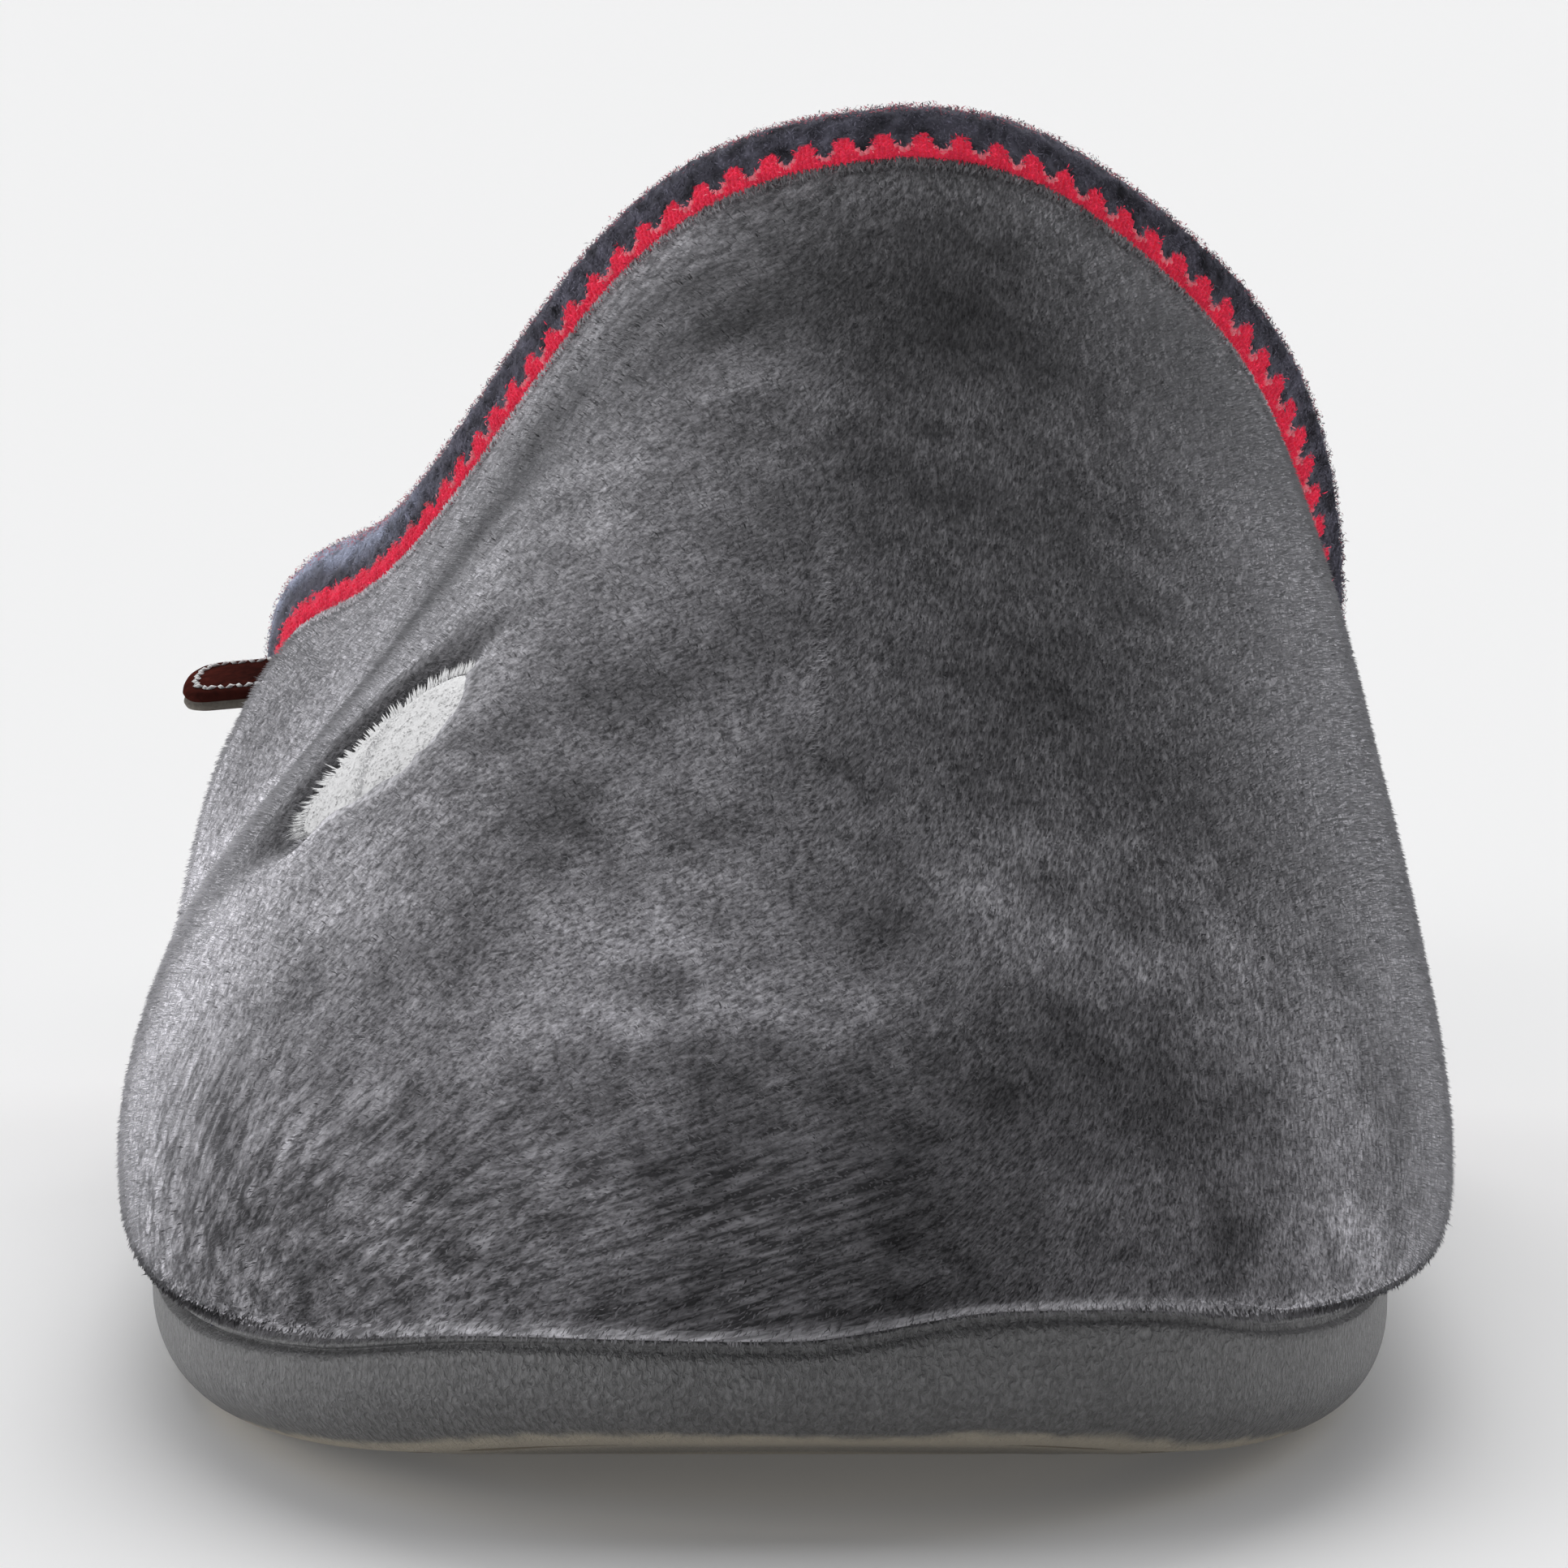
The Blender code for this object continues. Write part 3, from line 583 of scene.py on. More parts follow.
def ring_caps(first, count, upward):
    """Faces that close a ring of points: quads between its two sides and a triangle at each end."""
    side = np.arange(1, count // 2 - 1)
    quads = np.stack([side, side + 1, count - side - 1, count - side], -1)
    ends = np.array([(0, 1, count - 1), (count // 2 - 1, count // 2, count // 2 + 1)])
    return [first + (faces if upward else faces[:, ::-1]) for faces in (quads, ends)]


def cell_map(count, shape):
    """A map with a small square of its own for each of many like shapes."""
    side = math.ceil(math.sqrt(count))
    k = np.arange(count)
    corner = np.stack([k % side, k // side], -1)[:, None, :]
    return ((corner + np.asarray(shape)[None]) / side).reshape(-1, 2)


def hairs(name, slot, root, rise, lean, length, width, normal, root_tint, tip_tint, material, soft=0.8):
    """Two-triangle hairs: a root, two points at the bend and a tip.

    The lower part follows the direction rise and the upper part the direction lean.
    Each hair is shaded mostly as the surface that it stands on.
    """
    length = np.broadcast_to(length, len(root))[:, None]
    width = np.broadcast_to(width, len(root))[:, None]
    side = unit(np.cross(lean, normal)) * width / 2
    bend = root + rise * length * 0.45
    tip = bend + lean * length * 0.55
    points = np.stack([root, bend - side, bend + side, tip], 1)
    first = 4 * np.arange(len(root))[:, None, None]
    faces = (first + np.array([(0, 2, 1), (1, 2, 3)])[None]).reshape(-1, 3)
    half_tint = (root_tint + tip_tint) / 2
    tint = np.stack([root_tint, half_tint, half_tint, tip_tint], 1).reshape(-1, 3)
    own = unit(np.cross(side, lean))
    shade = unit(normal * soft + own * (1 - soft))
    normals = np.repeat(shade[:, None, :], 4, 1)
    uv = {"OFBake": cell_map(len(root), [(0.5, 0.1), (0.15, 0.5), (0.85, 0.5), (0.5, 0.9)])}
    return add_piece(name, slot, points, faces, [material], uv=uv, paint={"tint": tint}, normals=normals)


def beads(centre, long, wide, deep):
    """Points and faces of many eight-sided beads, each spanned by three half axes."""
    tips = [centre + long, centre - long, centre + wide, centre - wide, centre + deep, centre - deep]
    points = np.stack(tips, 1)
    eight = np.array([
        (0, 2, 4), (2, 1, 4), (1, 3, 4), (3, 0, 4),
        (2, 0, 5), (1, 2, 5), (3, 1, 5), (0, 3, 5),
    ])
    faces = (6 * np.arange(len(centre))[:, None, None] + eight[None]).reshape(-1, 3)
    return points.reshape(-1, 3), faces


def new_material(name, **values):
    """A material, its node tree, and its Principled shader with its own sockets set."""
    material = bpy.data.materials.new(name)
    material.use_nodes = True
    tree = material.node_tree
    shader = tree.nodes["Principled BSDF"]
    for title, value in values.items():
        shader.inputs[title.replace("_", " ")].default_value = value
    return material, tree, shader


def add_node(tree, kind, inputs=None, **settings):
    """A shader node with its settings made, and its inputs set to values or linked from sockets."""
    node = tree.nodes.new("ShaderNode" + kind)
    for title, value in settings.items():
        setattr(node, title, value)
    for title, value in (inputs or {}).items():
        if isinstance(value, bpy.types.NodeSocket):
            tree.links.new(value, node.inputs[title])
        else:
            node.inputs[title].default_value = value
    return node


def calc(tree, operation, *values, clamp=False):
    """Result of a Math node on sockets or numbers."""
    return add_node(tree, "Math", dict(enumerate(values)), operation=operation, use_clamp=clamp).outputs[0]


def scaled(tree, vector, factor):
    """A colour or vector times a factor."""
    return add_node(tree, "VectorMath", {0: vector, "Scale": factor}, operation="SCALE").outputs[0]


def mapped(tree, value, low, high, to_low, to_high, **settings):
    """A value carried from one range to another and held at its ends."""
    inputs = {"Value": value, "From Min": low, "From Max": high, "To Min": to_low, "To Max": to_high}
    return add_node(tree, "MapRange", inputs, **settings).outputs["Result"]


def painted(tree, title):
    """Outputs of the mesh's painted value."""
    return add_node(tree, "Attribute", attribute_name=title).outputs


def bumped(tree, height, distance):
    """Normal with the relief of a height, the distance being its depth."""
    return add_node(tree, "Bump", {"Height": height, "Distance": distance}).outputs["Normal"]


def new_group(name, inputs, outputs):
    """An empty node group with named sockets, the sockets that it is given and those that it puts out."""
    group = bpy.data.node_groups.new(name, "ShaderNodeTree")
    for titles, way in ((inputs, "INPUT"), (outputs, "OUTPUT")):
        for title, kind in titles.items():
            group.interface.new_socket(title, in_out=way, socket_type="NodeSocket" + kind)
    return group, group.nodes.new("NodeGroupInput").outputs, group.nodes.new("NodeGroupOutput").inputs


def pile_sheen(tree, colour, amount):
    """The colour made lighter at flat angles: times 1 + amount x facing ** SHEEN_POWER."""
    facing = add_node(tree, "LayerWeight", {"Blend": 0.5}).outputs["Facing"]
    lighter = calc(tree, "MULTIPLY_ADD", calc(tree, "POWER", facing, SHEEN_POWER), amount, 1)
    return scaled(tree, colour, lighter)


def tinted_material(name, glow=0.0, glance=0.0, **values):
    """A material coloured by the mesh's own tint, lit alike on both faces of a hair.

    It has a faint glow and a sheen at flat angles if asked.
    The normal of a face seen from behind is turned back to the side that the mesh gives.
    """
    material, tree, shader = new_material(name, **values)
    tint = painted(tree, "tint")["Color"]
    tree.links.new(pile_sheen(tree, tint, glance) if glance else tint, shader.inputs["Base Color"])
    if glow:
        tree.links.new(tint, shader.inputs["Emission Color"])
        shader.inputs["Emission Strength"].default_value = glow
    face = add_node(tree, "NewGeometry").outputs
    sign = calc(tree, "MULTIPLY_ADD", face["Backfacing"], -2, 1)
    tree.links.new(scaled(tree, face["Normal"], sign), shader.inputs["Normal"])
    return material


def grain_group():
    """Group: a fine grain from two noises on a given place, as a height and a varied colour."""
    group, given, out = new_group(
        "fine_grain",
        {"Place": "Vector", "Scale": "Float", "Colour": "Color", "Dark": "Color"},
        {"Height": "Float", "Colour": "Color"},
    )
    fine = add_node(group, "TexNoise", {
        "Vector": given["Place"], "Scale": given["Scale"], "Detail": 3, "Roughness": 0.6, "Distortion": 0.6,
    }).outputs["Fac"]
    slower = calc(group, "MULTIPLY", given["Scale"], 0.13)
    inputs = {"Vector": given["Place"], "Scale": slower, "Detail": 2}
    coarse = add_node(group, "TexNoise", inputs).outputs["Fac"]
    share = calc(group, "MULTIPLY", fine, coarse)
    inputs = {"Factor": share, "A": given["Dark"], "B": given["Colour"]}
    mix = add_node(group, "Mix", inputs, data_type="RGBA")
    group.links.new(fine, out["Height"])
    group.links.new(mix.outputs["Result"], out["Colour"])
    return group


GRAIN = grain_group()


def plush_group():
    """Group: height of plush whose nap has one lay, from -0.5 to 0.5.

    Short fine streaks where Comb is 0 and long combed ridges where it is 1, both drawn out along the lay.
    """
    group, given, out = new_group(
        "plush_lay", {"Place": "Vector", "Lay": "Vector", "Comb": "Float"}, {"Height": "Float"},
    )
    streaks = []
    for size, detail in ((FINE_STREAK, 3.0), (COMBED_RIDGE, 2.5)):
        inputs = {"Vector": given["Place"], "Rotation": given["Lay"], "Scale": size}
        turned = add_node(group, "Mapping", inputs, vector_type="TEXTURE").outputs["Vector"]
        streaks.append(add_node(group, "TexNoise", {
            "Vector": turned, "Scale": 1, "Detail": detail, "Roughness": 0.6, "Distortion": 0.3,
        }).outputs["Fac"])
    mix = add_node(group, "Mix", {"Factor": given["Comb"], "A": streaks[0], "B": streaks[1]})
    level = calc(group, "SUBTRACT", mix.outputs["Result"], 0.5)
    deeper = calc(group, "MULTIPLY_ADD", given["Comb"], 0.9, 1)
    group.links.new(calc(group, "MULTIPLY", level, deeper), out["Height"])
    return group


PLUSH = plush_group()


def plush_material(name, contrast, relief, glance=0.0, **values):
    """Plush that follows the mesh's painted nap: four lays mixed by their shares, in colour and relief.

    The mesh's painted colour is made lighter on the streaks and darker between them, partly the pile's own
    varied tone and partly painted shade in the grooves, and is clouded by a slow noise.
    """
    material, tree, shader = new_material(name, **values)
    place = add_node(tree, "TexCoord").outputs["Object"]
    nap = painted(tree, "nap")
    comb = painted(tree, "comb")["Fac"]
    share = add_node(tree, "SeparateColor", {"Color": nap["Color"]}).outputs
    height = 0
    for slope, part in zip(NAP_LAYS, (share["Red"], share["Green"], share["Blue"], nap["Alpha"])):
        inputs = {"Place": place, "Lay": (0, -math.radians(slope), 0), "Comb": comb}
        lay = add_node(tree, "Group", inputs, node_tree=PLUSH)
        height = calc(tree, "MULTIPLY_ADD", lay.outputs["Height"], part, height)
    cloud = add_node(tree, "TexNoise", {"Vector": place, "Scale": 420, "Detail": 2}).outputs["Fac"]
    clouded = mapped(tree, cloud, 0.25, 0.75, 0.86, 1.14)
    # Painted shade: the colour follows the relief's height, darker in the grooves between streaks and lighter
    # on their tops
    tone = calc(tree, "MAXIMUM", calc(tree, "MULTIPLY_ADD", height, contrast, clouded), 0.4)
    colour = scaled(tree, painted(tree, "tint")["Color"], tone)
    tree.links.new(pile_sheen(tree, colour, glance) if glance else colour, shader.inputs["Base Color"])
    tree.links.new(bumped(tree, height, relief), shader.inputs["Normal"])
    return material


def grained_material(name, colour, dark, scale, depth, **values):
    """A material with the fine grain in its colour and relief, on object coordinates."""
    material, tree, shader = new_material(name, **values)
    place = add_node(tree, "TexCoord").outputs["Object"]
    inputs = {"Place": place, "Scale": scale, "Colour": (*colour, 1), "Dark": (*dark, 1)}
    grain = add_node(tree, "Group", inputs, node_tree=GRAIN).outputs
    tree.links.new(grain["Colour"], shader.inputs["Base Color"])
    tree.links.new(bumped(tree, grain["Height"], depth), shader.inputs["Normal"])
    return material


def sole_material():
    """Grey foam rubber with a fine wrinkled grain, worn to beige where the mesh says so."""
    material, tree, shader = new_material("sole_skin", Roughness=0.42, Specular_IOR_Level=0.8)
    around = add_node(tree, "TexCoord").outputs["UV"]
    place = add_node(tree, "Mapping", {"Vector": around, "Scale": (1.5, 0.9, 1)}).outputs["Vector"]
    inputs = {"Place": place, "Scale": 1500, "Colour": SOLE_GREY, "Dark": SOLE_DARK}
    grain = add_node(tree, "Group", inputs, node_tree=GRAIN).outputs
    worn = calc(tree, "MULTIPLY_ADD", painted(tree, "worn")["Fac"], 1.5, -0.25, clamp=True)
    speckled = calc(tree, "MULTIPLY_ADD", grain["Height"], 0.5, worn, clamp=True)
    pitted = scaled(tree, grain["Colour"], mapped(tree, grain["Height"], 0.36, 0.64, 0.72, 1.3))
    share = calc(tree, "MULTIPLY", speckled, worn)
    mix = add_node(tree, "Mix", {"Factor": share, "A": pitted, "B": SOLE_WORN}, data_type="RGBA")
    tree.links.new(mix.outputs["Result"], shader.inputs["Base Color"])
    tree.links.new(bumped(tree, grain["Height"], 0.5 * MM), shader.inputs["Normal"])
    return material


# Finishes
velour_skin = plush_material(
    "velour_skin", 4.4, 0.12 * MM, glance=PILE_SHEEN, Roughness=0.95, Specular_IOR_Level=0.1,
    Sheen_Weight=0.45, Sheen_Roughness=0.34, Sheen_Tint=(0.8, 0.81, 0.86, 1),
)
# Painted light: the velour's lowest faces over the sole glow faintly, lifting the shade under the hem
velour_edge_glow = plush_material(
    "velour_edge_glow", 3.2, 0.1 * MM, Roughness=0.95, Specular_IOR_Level=0.1,
    Emission_Color=(0.1, 0.1, 0.105, 1), Emission_Strength=0.4,
)
velour_fuzz = tinted_material(
    "velour_fuzz", glance=PILE_SHEEN, Roughness=0.95, Specular_IOR_Level=0.1,
    Sheen_Weight=0.4, Sheen_Roughness=0.34, Sheen_Tint=(0.8, 0.81, 0.86, 1),
)
# Painted light: the hem's hairs glow faintly, lifting the shade where they hang under the velour's edge
velour_hem_glow = tinted_material("velour_hem_glow", glow=0.12, Roughness=0.95, Specular_IOR_Level=0.1)
fleece_ground = grained_material(
    "fleece_ground", (0.075, 0.09, 0.15), (0.03, 0.036, 0.07), 1600, 0.4 * MM,
    Roughness=0.95, Sheen_Weight=0.5, Sheen_Roughness=0.5, Sheen_Tint=(0.55, 0.6, 0.75, 1),
)
fleece_pile = tinted_material(
    "fleece_pile", Roughness=0.9, Specular_IOR_Level=0.1,
    Sheen_Weight=0.5, Sheen_Roughness=0.5, Sheen_Tint=(0.6, 0.65, 0.8, 1),
)
navy_wool = tinted_material(
    "navy_wool", Roughness=0.9, Specular_IOR_Level=0.15,
    Sheen_Weight=0.3, Sheen_Roughness=0.5, Sheen_Tint=(0.7, 0.7, 0.8, 1),
)
# Painted light: the red yarn glows faintly with its own tint, so that it looks brighter than its lighting
# makes it
red_yarn_glow = tinted_material(
    "red_yarn_glow", glow=0.3, Roughness=0.85, Specular_IOR_Level=0.15,
    Sheen_Weight=0.4, Sheen_Roughness=0.5, Sheen_Tint=(1.0, 0.4, 0.45, 1),
)
sole_skin = sole_material()
beige_rubber = grained_material(
    "beige_rubber", (0.42, 0.36, 0.27), (0.2, 0.17, 0.13), 900, 0.2 * MM, Roughness=0.7,
)
brown_leather = grained_material(
    "brown_leather", (0.17, 0.035, 0.025), (0.006, 0.005, 0.005), 900, 0.06 * MM,
    Roughness=0.5, Specular_IOR_Level=0.0,
)
raw_edge = grained_material(
    "raw_edge", (0.3, 0.27, 0.22), (0.1, 0.09, 0.08), 2600, 0.15 * MM, Roughness=0.85,
)
white_thread = tinted_material(
    "white_thread", Roughness=0.5, Sheen_Weight=0.3, Sheen_Roughness=0.3,
)


def make_upper_shell():
    """Closed shell of the upper: the velour's plush skin, the fleece inside and the folded edge between them.

    The outer grid lies the skin's depth under the part's face and the inner grid a wall's thickness under it.
    """
    across = np.linspace(-1, 1, 261)
    along = np.concatenate([np.linspace(-1, 0, 86), np.linspace(0, 1, 71)[1:]])
    outer, normal = upper_outer(across[None, :], along[:, None])
    face = outer - normal * SKIN_DEPTH
    back = outer - normal * LINING_DEPTH
    rows = len(along)
    columns = len(across)
    size = rows * columns
    grid = np.arange(size).reshape(rows, columns)
    rim = np.concatenate([grid[0, :], grid[1:, -1], grid[-1, -2::-1], grid[-2:0:-1, 0]])
    after = np.roll(rim, -1)
    outside = grid_faces(rows, columns)
    inside = grid_faces(rows, columns, first=size)[:, ::-1]
    edge = np.stack([rim, after, after + size, rim + size], -1)
    hang, _ = wrap(across[None, :], along[:, None])
    # Faces by the feather edge take the glowing edge material: painted light on the shaded hem
    under = hang.reshape(-1)[outside].mean(1) > 0.955
    slots = np.concatenate([np.where(under, 2, 0), np.ones(len(inside) + len(edge))])
    points = np.concatenate([face.reshape(-1, 3), back.reshape(-1, 3)])
    across_all, along_all = np.meshgrid(across, along)
    far = collar_distance(across_all.ravel(), along_all.ravel())
    flat = outer.reshape(-1, 3)
    # Painted light: the tint is made lighter towards the hem, where the velour curls under into shade
    hem_painted_light = (1 + 2.4 * ease(hang, 0.93, 1)).reshape(-1, 1)
    paint = {
        "tint": velour_tint(flat, across_all.ravel(), along_all.ravel()) * hem_painted_light,
        "nap": nap_shares(flat),
        "comb": np.repeat(combed(flat, far)[:, None], 3, 1),
    }
    paint = {title: np.concatenate([value, value]) for title, value in paint.items()}
    faces = np.concatenate([outside, inside, edge])
    skins = [velour_skin, fleece_ground, velour_edge_glow]
    piece = add_piece("upper_shell", "upper", points, faces, skins, paint=paint, slots=slots)
    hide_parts("upper")
    return piece


class Ground:
    """The upper's outer face on a fine grid, looked up at any shares across and along."""

    def __init__(self, rows=361, columns=361):
        self.across = np.linspace(-1, 1, columns)
        self.along = np.linspace(-1, 1, rows)
        self.point, self.normal = upper_outer(self.across[None, :], self.along[:, None])
        p = self.point
        step = np.cross(p[1:, :-1] - p[:-1, :-1], p[:-1, 1:] - p[:-1, :-1])
        self.area = np.linalg.norm(step, axis=-1)

    def scatter(self, count, weight=None):
        """Even scatter: each cell of the grid takes hairs in proportion to its area."""
        area = self.area if weight is None else self.area * weight[:-1, :-1]
        total = np.cumsum(area.ravel())
        spot = (np.arange(count) + dice.random(count)) / count * total[-1]
        cell = np.clip(np.searchsorted(total, spot), 0, total.size - 1)
        i, j = np.divmod(cell, area.shape[1])
        return i + dice.random(count), j + dice.random(count)

    def at(self, field, row, column):
        """A field of the grid, taken straight between the four corners of the cell."""
        i = row.astype(int)
        j = column.astype(int)
        u = (row - i)[:, None]
        v = (column - j)[:, None]
        low = field[i, j] * (1 - v) + field[i, j + 1] * v
        high = field[i + 1, j] * (1 - v) + field[i + 1, j + 1] * v
        return low * (1 - u) + high * u


def nap_slope(point):
    """Slope of the nap seen from the front, in radians: low column under 38 mm, high one over 58 mm."""
    inward = point[:, 0] / MM
    low = curve(inward, NAP, NAP_COLUMNS, "low")
    high = curve(inward, NAP, NAP_COLUMNS, "high")
    share = ease(point[:, 2], 38 * MM, 58 * MM)
    return np.radians(low + (high - low) * share)


def nap_shares(point):
    """Shares of the four lays by nearness to the nap's slope, scaled so that their squares add up to 1."""
    slope = np.clip(np.degrees(nap_slope(point)), NAP_LAYS[0], NAP_LAYS[-1])
    gap = NAP_LAYS[1] - NAP_LAYS[0]
    share = np.clip(1 - np.abs(slope[:, None] - np.array(NAP_LAYS)) / gap, 0, 1)
    return share / np.linalg.norm(share, axis=1, keepdims=True)


def collar_distance(across, along):
    """Rough distance over the surface from the collar's edge."""
    cut = by_side(across < 0, np.abs(across), COLLAR, COLLAR_COLUMNS)
    return np.where(along < 0, (1 + along) * (cut - BALL), cut - BALL + along * BALL)


def combed(point, from_collar):
    """How strongly the pile is combed into ridges: on the toe's low outer half and by the outer collar."""
    x, t, z = point.T
    toe_zone = ease(z, 42 * MM, 27 * MM) * ease(x, 22 * MM, 2 * MM) * ease(t, 75 * MM, 45 * MM)
    collar_zone = ease(from_collar, 26 * MM, 8 * MM) * ease(x, 16 * MM, 0 * MM) * ease(z, 50 * MM, 62 * MM)
    return np.maximum(toe_zone, 0.7 * collar_zone) * (0.75 + 0.25 * noise(point, 5 * MM, 5))


# Soft light and dark patches, partly where the pile was brushed and partly painted light and shade (lighter
# on the outer flank, darker on the upper slopes by the collar and the badge): place of the middle and reach
# in mm, and tone
NAP_AND_SHADE_PATCHES = np.array([
    (-51, 130, 32, 20, 1.3),
    (-38, 112, 52, 13, -0.55),
    (-48, 60, 36, 19, 1.1),
    (-54, 105, 30, 14, 0.8),
    (-3, 60, 60, 40, 0.3),
    (-3, 12, 37, 14, 0.45),
    (-34, 46, 47, 10, 0.4),
    (-24, 70, 59, 6, 0.7),
    (-28, 21, 37, 21, 0.75),
    (-40, 24, 22, 14, 0.5),
    (-9, 22, 45, 9, 1.2),
    (-20, 17, 40, 8, 0.8),
    (-11, 7, 33, 10, 0.9),
    (-26, 4, 22, 13, 0.6),
    (6, 13, 39, 6, 0.8),
    (6, 24, 45, 5, -0.3),
    (20, 28, 47, 8, 1.3),
    (32, 26, 44, 9, 0.7),
    (42, 30, 38, 13, 0.5),
    (41, 18, 25, 12, 0.8),
    (47, 25, 16, 9, 1.2),
    (29, 5, 25, 9, 0.6),
    (5, 118, 87, 15, -0.55),
    (-6, 117, 83, 8, -0.35),
    (18, 112, 83, 12, -0.3),
    (38, 135, 78, 18, -0.55),
    (-26, 126, 66, 17, -0.8),
    (-14, 132, 84, 9, -0.3),
    (5, 86, 72, 9, -0.3),
    (21, 77, 67, 21, -0.48),
    (26, 50, 56, 13, -0.3),
    (-14, 60, 60, 8, -0.25),
    (-4, 52, 58, 5, 0.3),
    (-3, 110, 81, 7, 0.25),
])


def nap_and_shade(point):
    """Sum of the patches of nap and of painted light and shade, each a bell of the distance from its middle.
    """
    total = np.zeros(len(point))
    for inward, behind, height, reach, tone in NAP_AND_SHADE_PATCHES:
        away = np.linalg.norm(point / MM - np.array([inward, behind, height]), axis=1)
        total += tone * np.exp(-((away / reach) ** 2))
    return total


def velour_tint(point, across, along):
    """Colour of the velour: patches of nap and of painted light and shade, soft clouds, and painted shade in
    the trough behind the badge and on its near bank.
    """
    a, b = badge_shares(across, along)
    behind = ease((a + b) / math.sqrt(2), 0.3, -0.3)
    ends = 1 - ease(np.abs(a - b) / math.sqrt(2), 0.8, 1.9)
    far = np.hypot(a, b)
    # Painted shade: darker in the trough behind the badge, where the pile's wall shades it
    trough_shade = behind * ends * (0.66 * ease(far, 3.3, 1.2) + 0.22 * ease(far, 1.3, 0.98))
    # Painted shade on the badge's steep near bank, which the flat-angle sheen would otherwise light up
    shaded = 0.6 * (1 - behind) * ease(far, 0.5, 0.7) * ease(far, 1.1, 0.9)
    cloud = 0.34 * noise(point, 7 * MM, 61) + 0.32 * noise(point, 2.6 * MM, 62)
    cloud = cloud + 0.2 * noise(point, 1.2 * MM, 63)
    flank = ease(np.abs(point[:, 0]), 26 * MM, 42 * MM) * ease(point[:, 1], 30 * MM, 60 * MM)
    cloud = 1 + cloud * (1 - 0.85 * flank)
    tone = np.clip((1 + nap_and_shade(point)) * cloud * (1 - trough_shade) * (1 - shaded), 0.12, 5)
    return VELOUR * tone[:, None]


def make_velour_fuzz(ground):
    """Fine leaning fuzz over the plush skin, thicker on the badge's far bank and along the collar."""
    across_grid, along_grid = np.meshgrid(ground.across, ground.along)
    a, b = badge_shares(across_grid, along_grid)
    far = np.hypot(a, b)
    bank = np.exp(-(((far - 0.98) / 0.1) ** 2))
    weight = np.where(far < 1.0, 0.0, 1.0) * (1 + 3 * bank * (a + b < 0))
    row, column = ground.scatter(FUZZ_HAIRS, weight)
    point = ground.at(ground.point, row, column)
    normal = unit(ground.at(ground.normal, row, column))
    along = np.interp(row, np.arange(len(ground.along)), ground.along)
    across = np.interp(column, np.arange(len(ground.across)), ground.across)
    count = len(point)
    slope = nap_slope(point) + np.radians(30) * noise(point, 1.6 * MM, 7)
    slope = slope + np.radians(22) * dice.standard_normal(count)
    aim = np.stack([-np.cos(slope), -0.6 * np.sin(slope), -0.8 * np.sin(slope)], -1)
    aim = unit(aim - normal * dot(aim, normal))
    hang, out = wrap(across, along)
    fringe = ease(hang, 0.94, 1.0)[:, None]
    aim = unit(aim * (1 - fringe) + (out - np.array([0, 0, 0.9])) * fringe)
    lay = np.radians(44 + 12 * dice.standard_normal(count))[:, None]
    rise = normal * np.cos(lay * 0.4) + aim * np.sin(lay * 0.4)
    lean = normal * np.cos(lay) + aim * np.sin(lay)
    length = FUZZ_LENGTH * (1 + 0.18 * dice.standard_normal(count) - 0.42 * fringe[:, 0])
    speck = 0.52 * noise(point * np.array([1, 0.4, 1]), 0.45 * MM, 11) + 0.12 * dice.standard_normal(count)
    # Painted light: hairs at the hem are made lighter where they hang into the shade under the velour
    tone = (1 + speck) * (1 + 0.9 * fringe[:, 0])
    tint = velour_tint(point, across, along) * np.clip(tone, 0.3, 4)[:, None]
    root = point - normal * (SKIN_DEPTH + 0.05 * MM)
    is_hem = hang > 0.93
    is_toe = along >= 0.36
    regions = (
        ("velour_fuzz_toe", is_toe & ~is_hem, velour_fuzz),
        ("velour_fuzz_outer", ~is_toe & ~is_hem & (across < 0), velour_fuzz),
        ("velour_fuzz_inner", ~is_toe & ~is_hem & (across >= 0), velour_fuzz),
        ("velour_fuzz_hem", is_hem, velour_hem_glow),
    )
    for name, here, material in regions:
        # Painted shade: roots are tinted darker than tips, for the shade deep in the pile
        hairs(
            name, "upper", root[here], rise[here], lean[here], length[here], FUZZ_WIDTH,
            normal[here], tint[here] * 0.75, tint[here] * 1.2, material, soft=0.7,
        )

    count = 10000
    across = dice.uniform(-0.93, 0.93, count)
    point, _, forward, normal = upper_frame(across, -1 + 0.03 * dice.random(count) ** 2)
    spread = 0.35 * dice.standard_normal((count, 1)) * unit(np.cross(forward, normal))
    rise = unit(normal * 0.8 - forward * 0.6 + spread)
    lean = unit(normal * 0.25 - forward + spread)
    tone = np.clip(1.0 + 0.3 * dice.standard_normal(count), 0.4, 2)[:, None]
    tint = velour_tint(point, across, np.full(count, -1.0)) * tone
    length = 0.9 * MM * (1 + 0.2 * dice.standard_normal(count))
    root = point - normal * SKIN_DEPTH
    # Painted shade: roots are tinted darker than tips, for the shade deep in the pile
    hairs(
        "velour_fuzz_collar", "upper", root, rise, lean, length, 0.15 * MM,
        normal, tint * 0.7, tint * 1.3, velour_fuzz,
    )


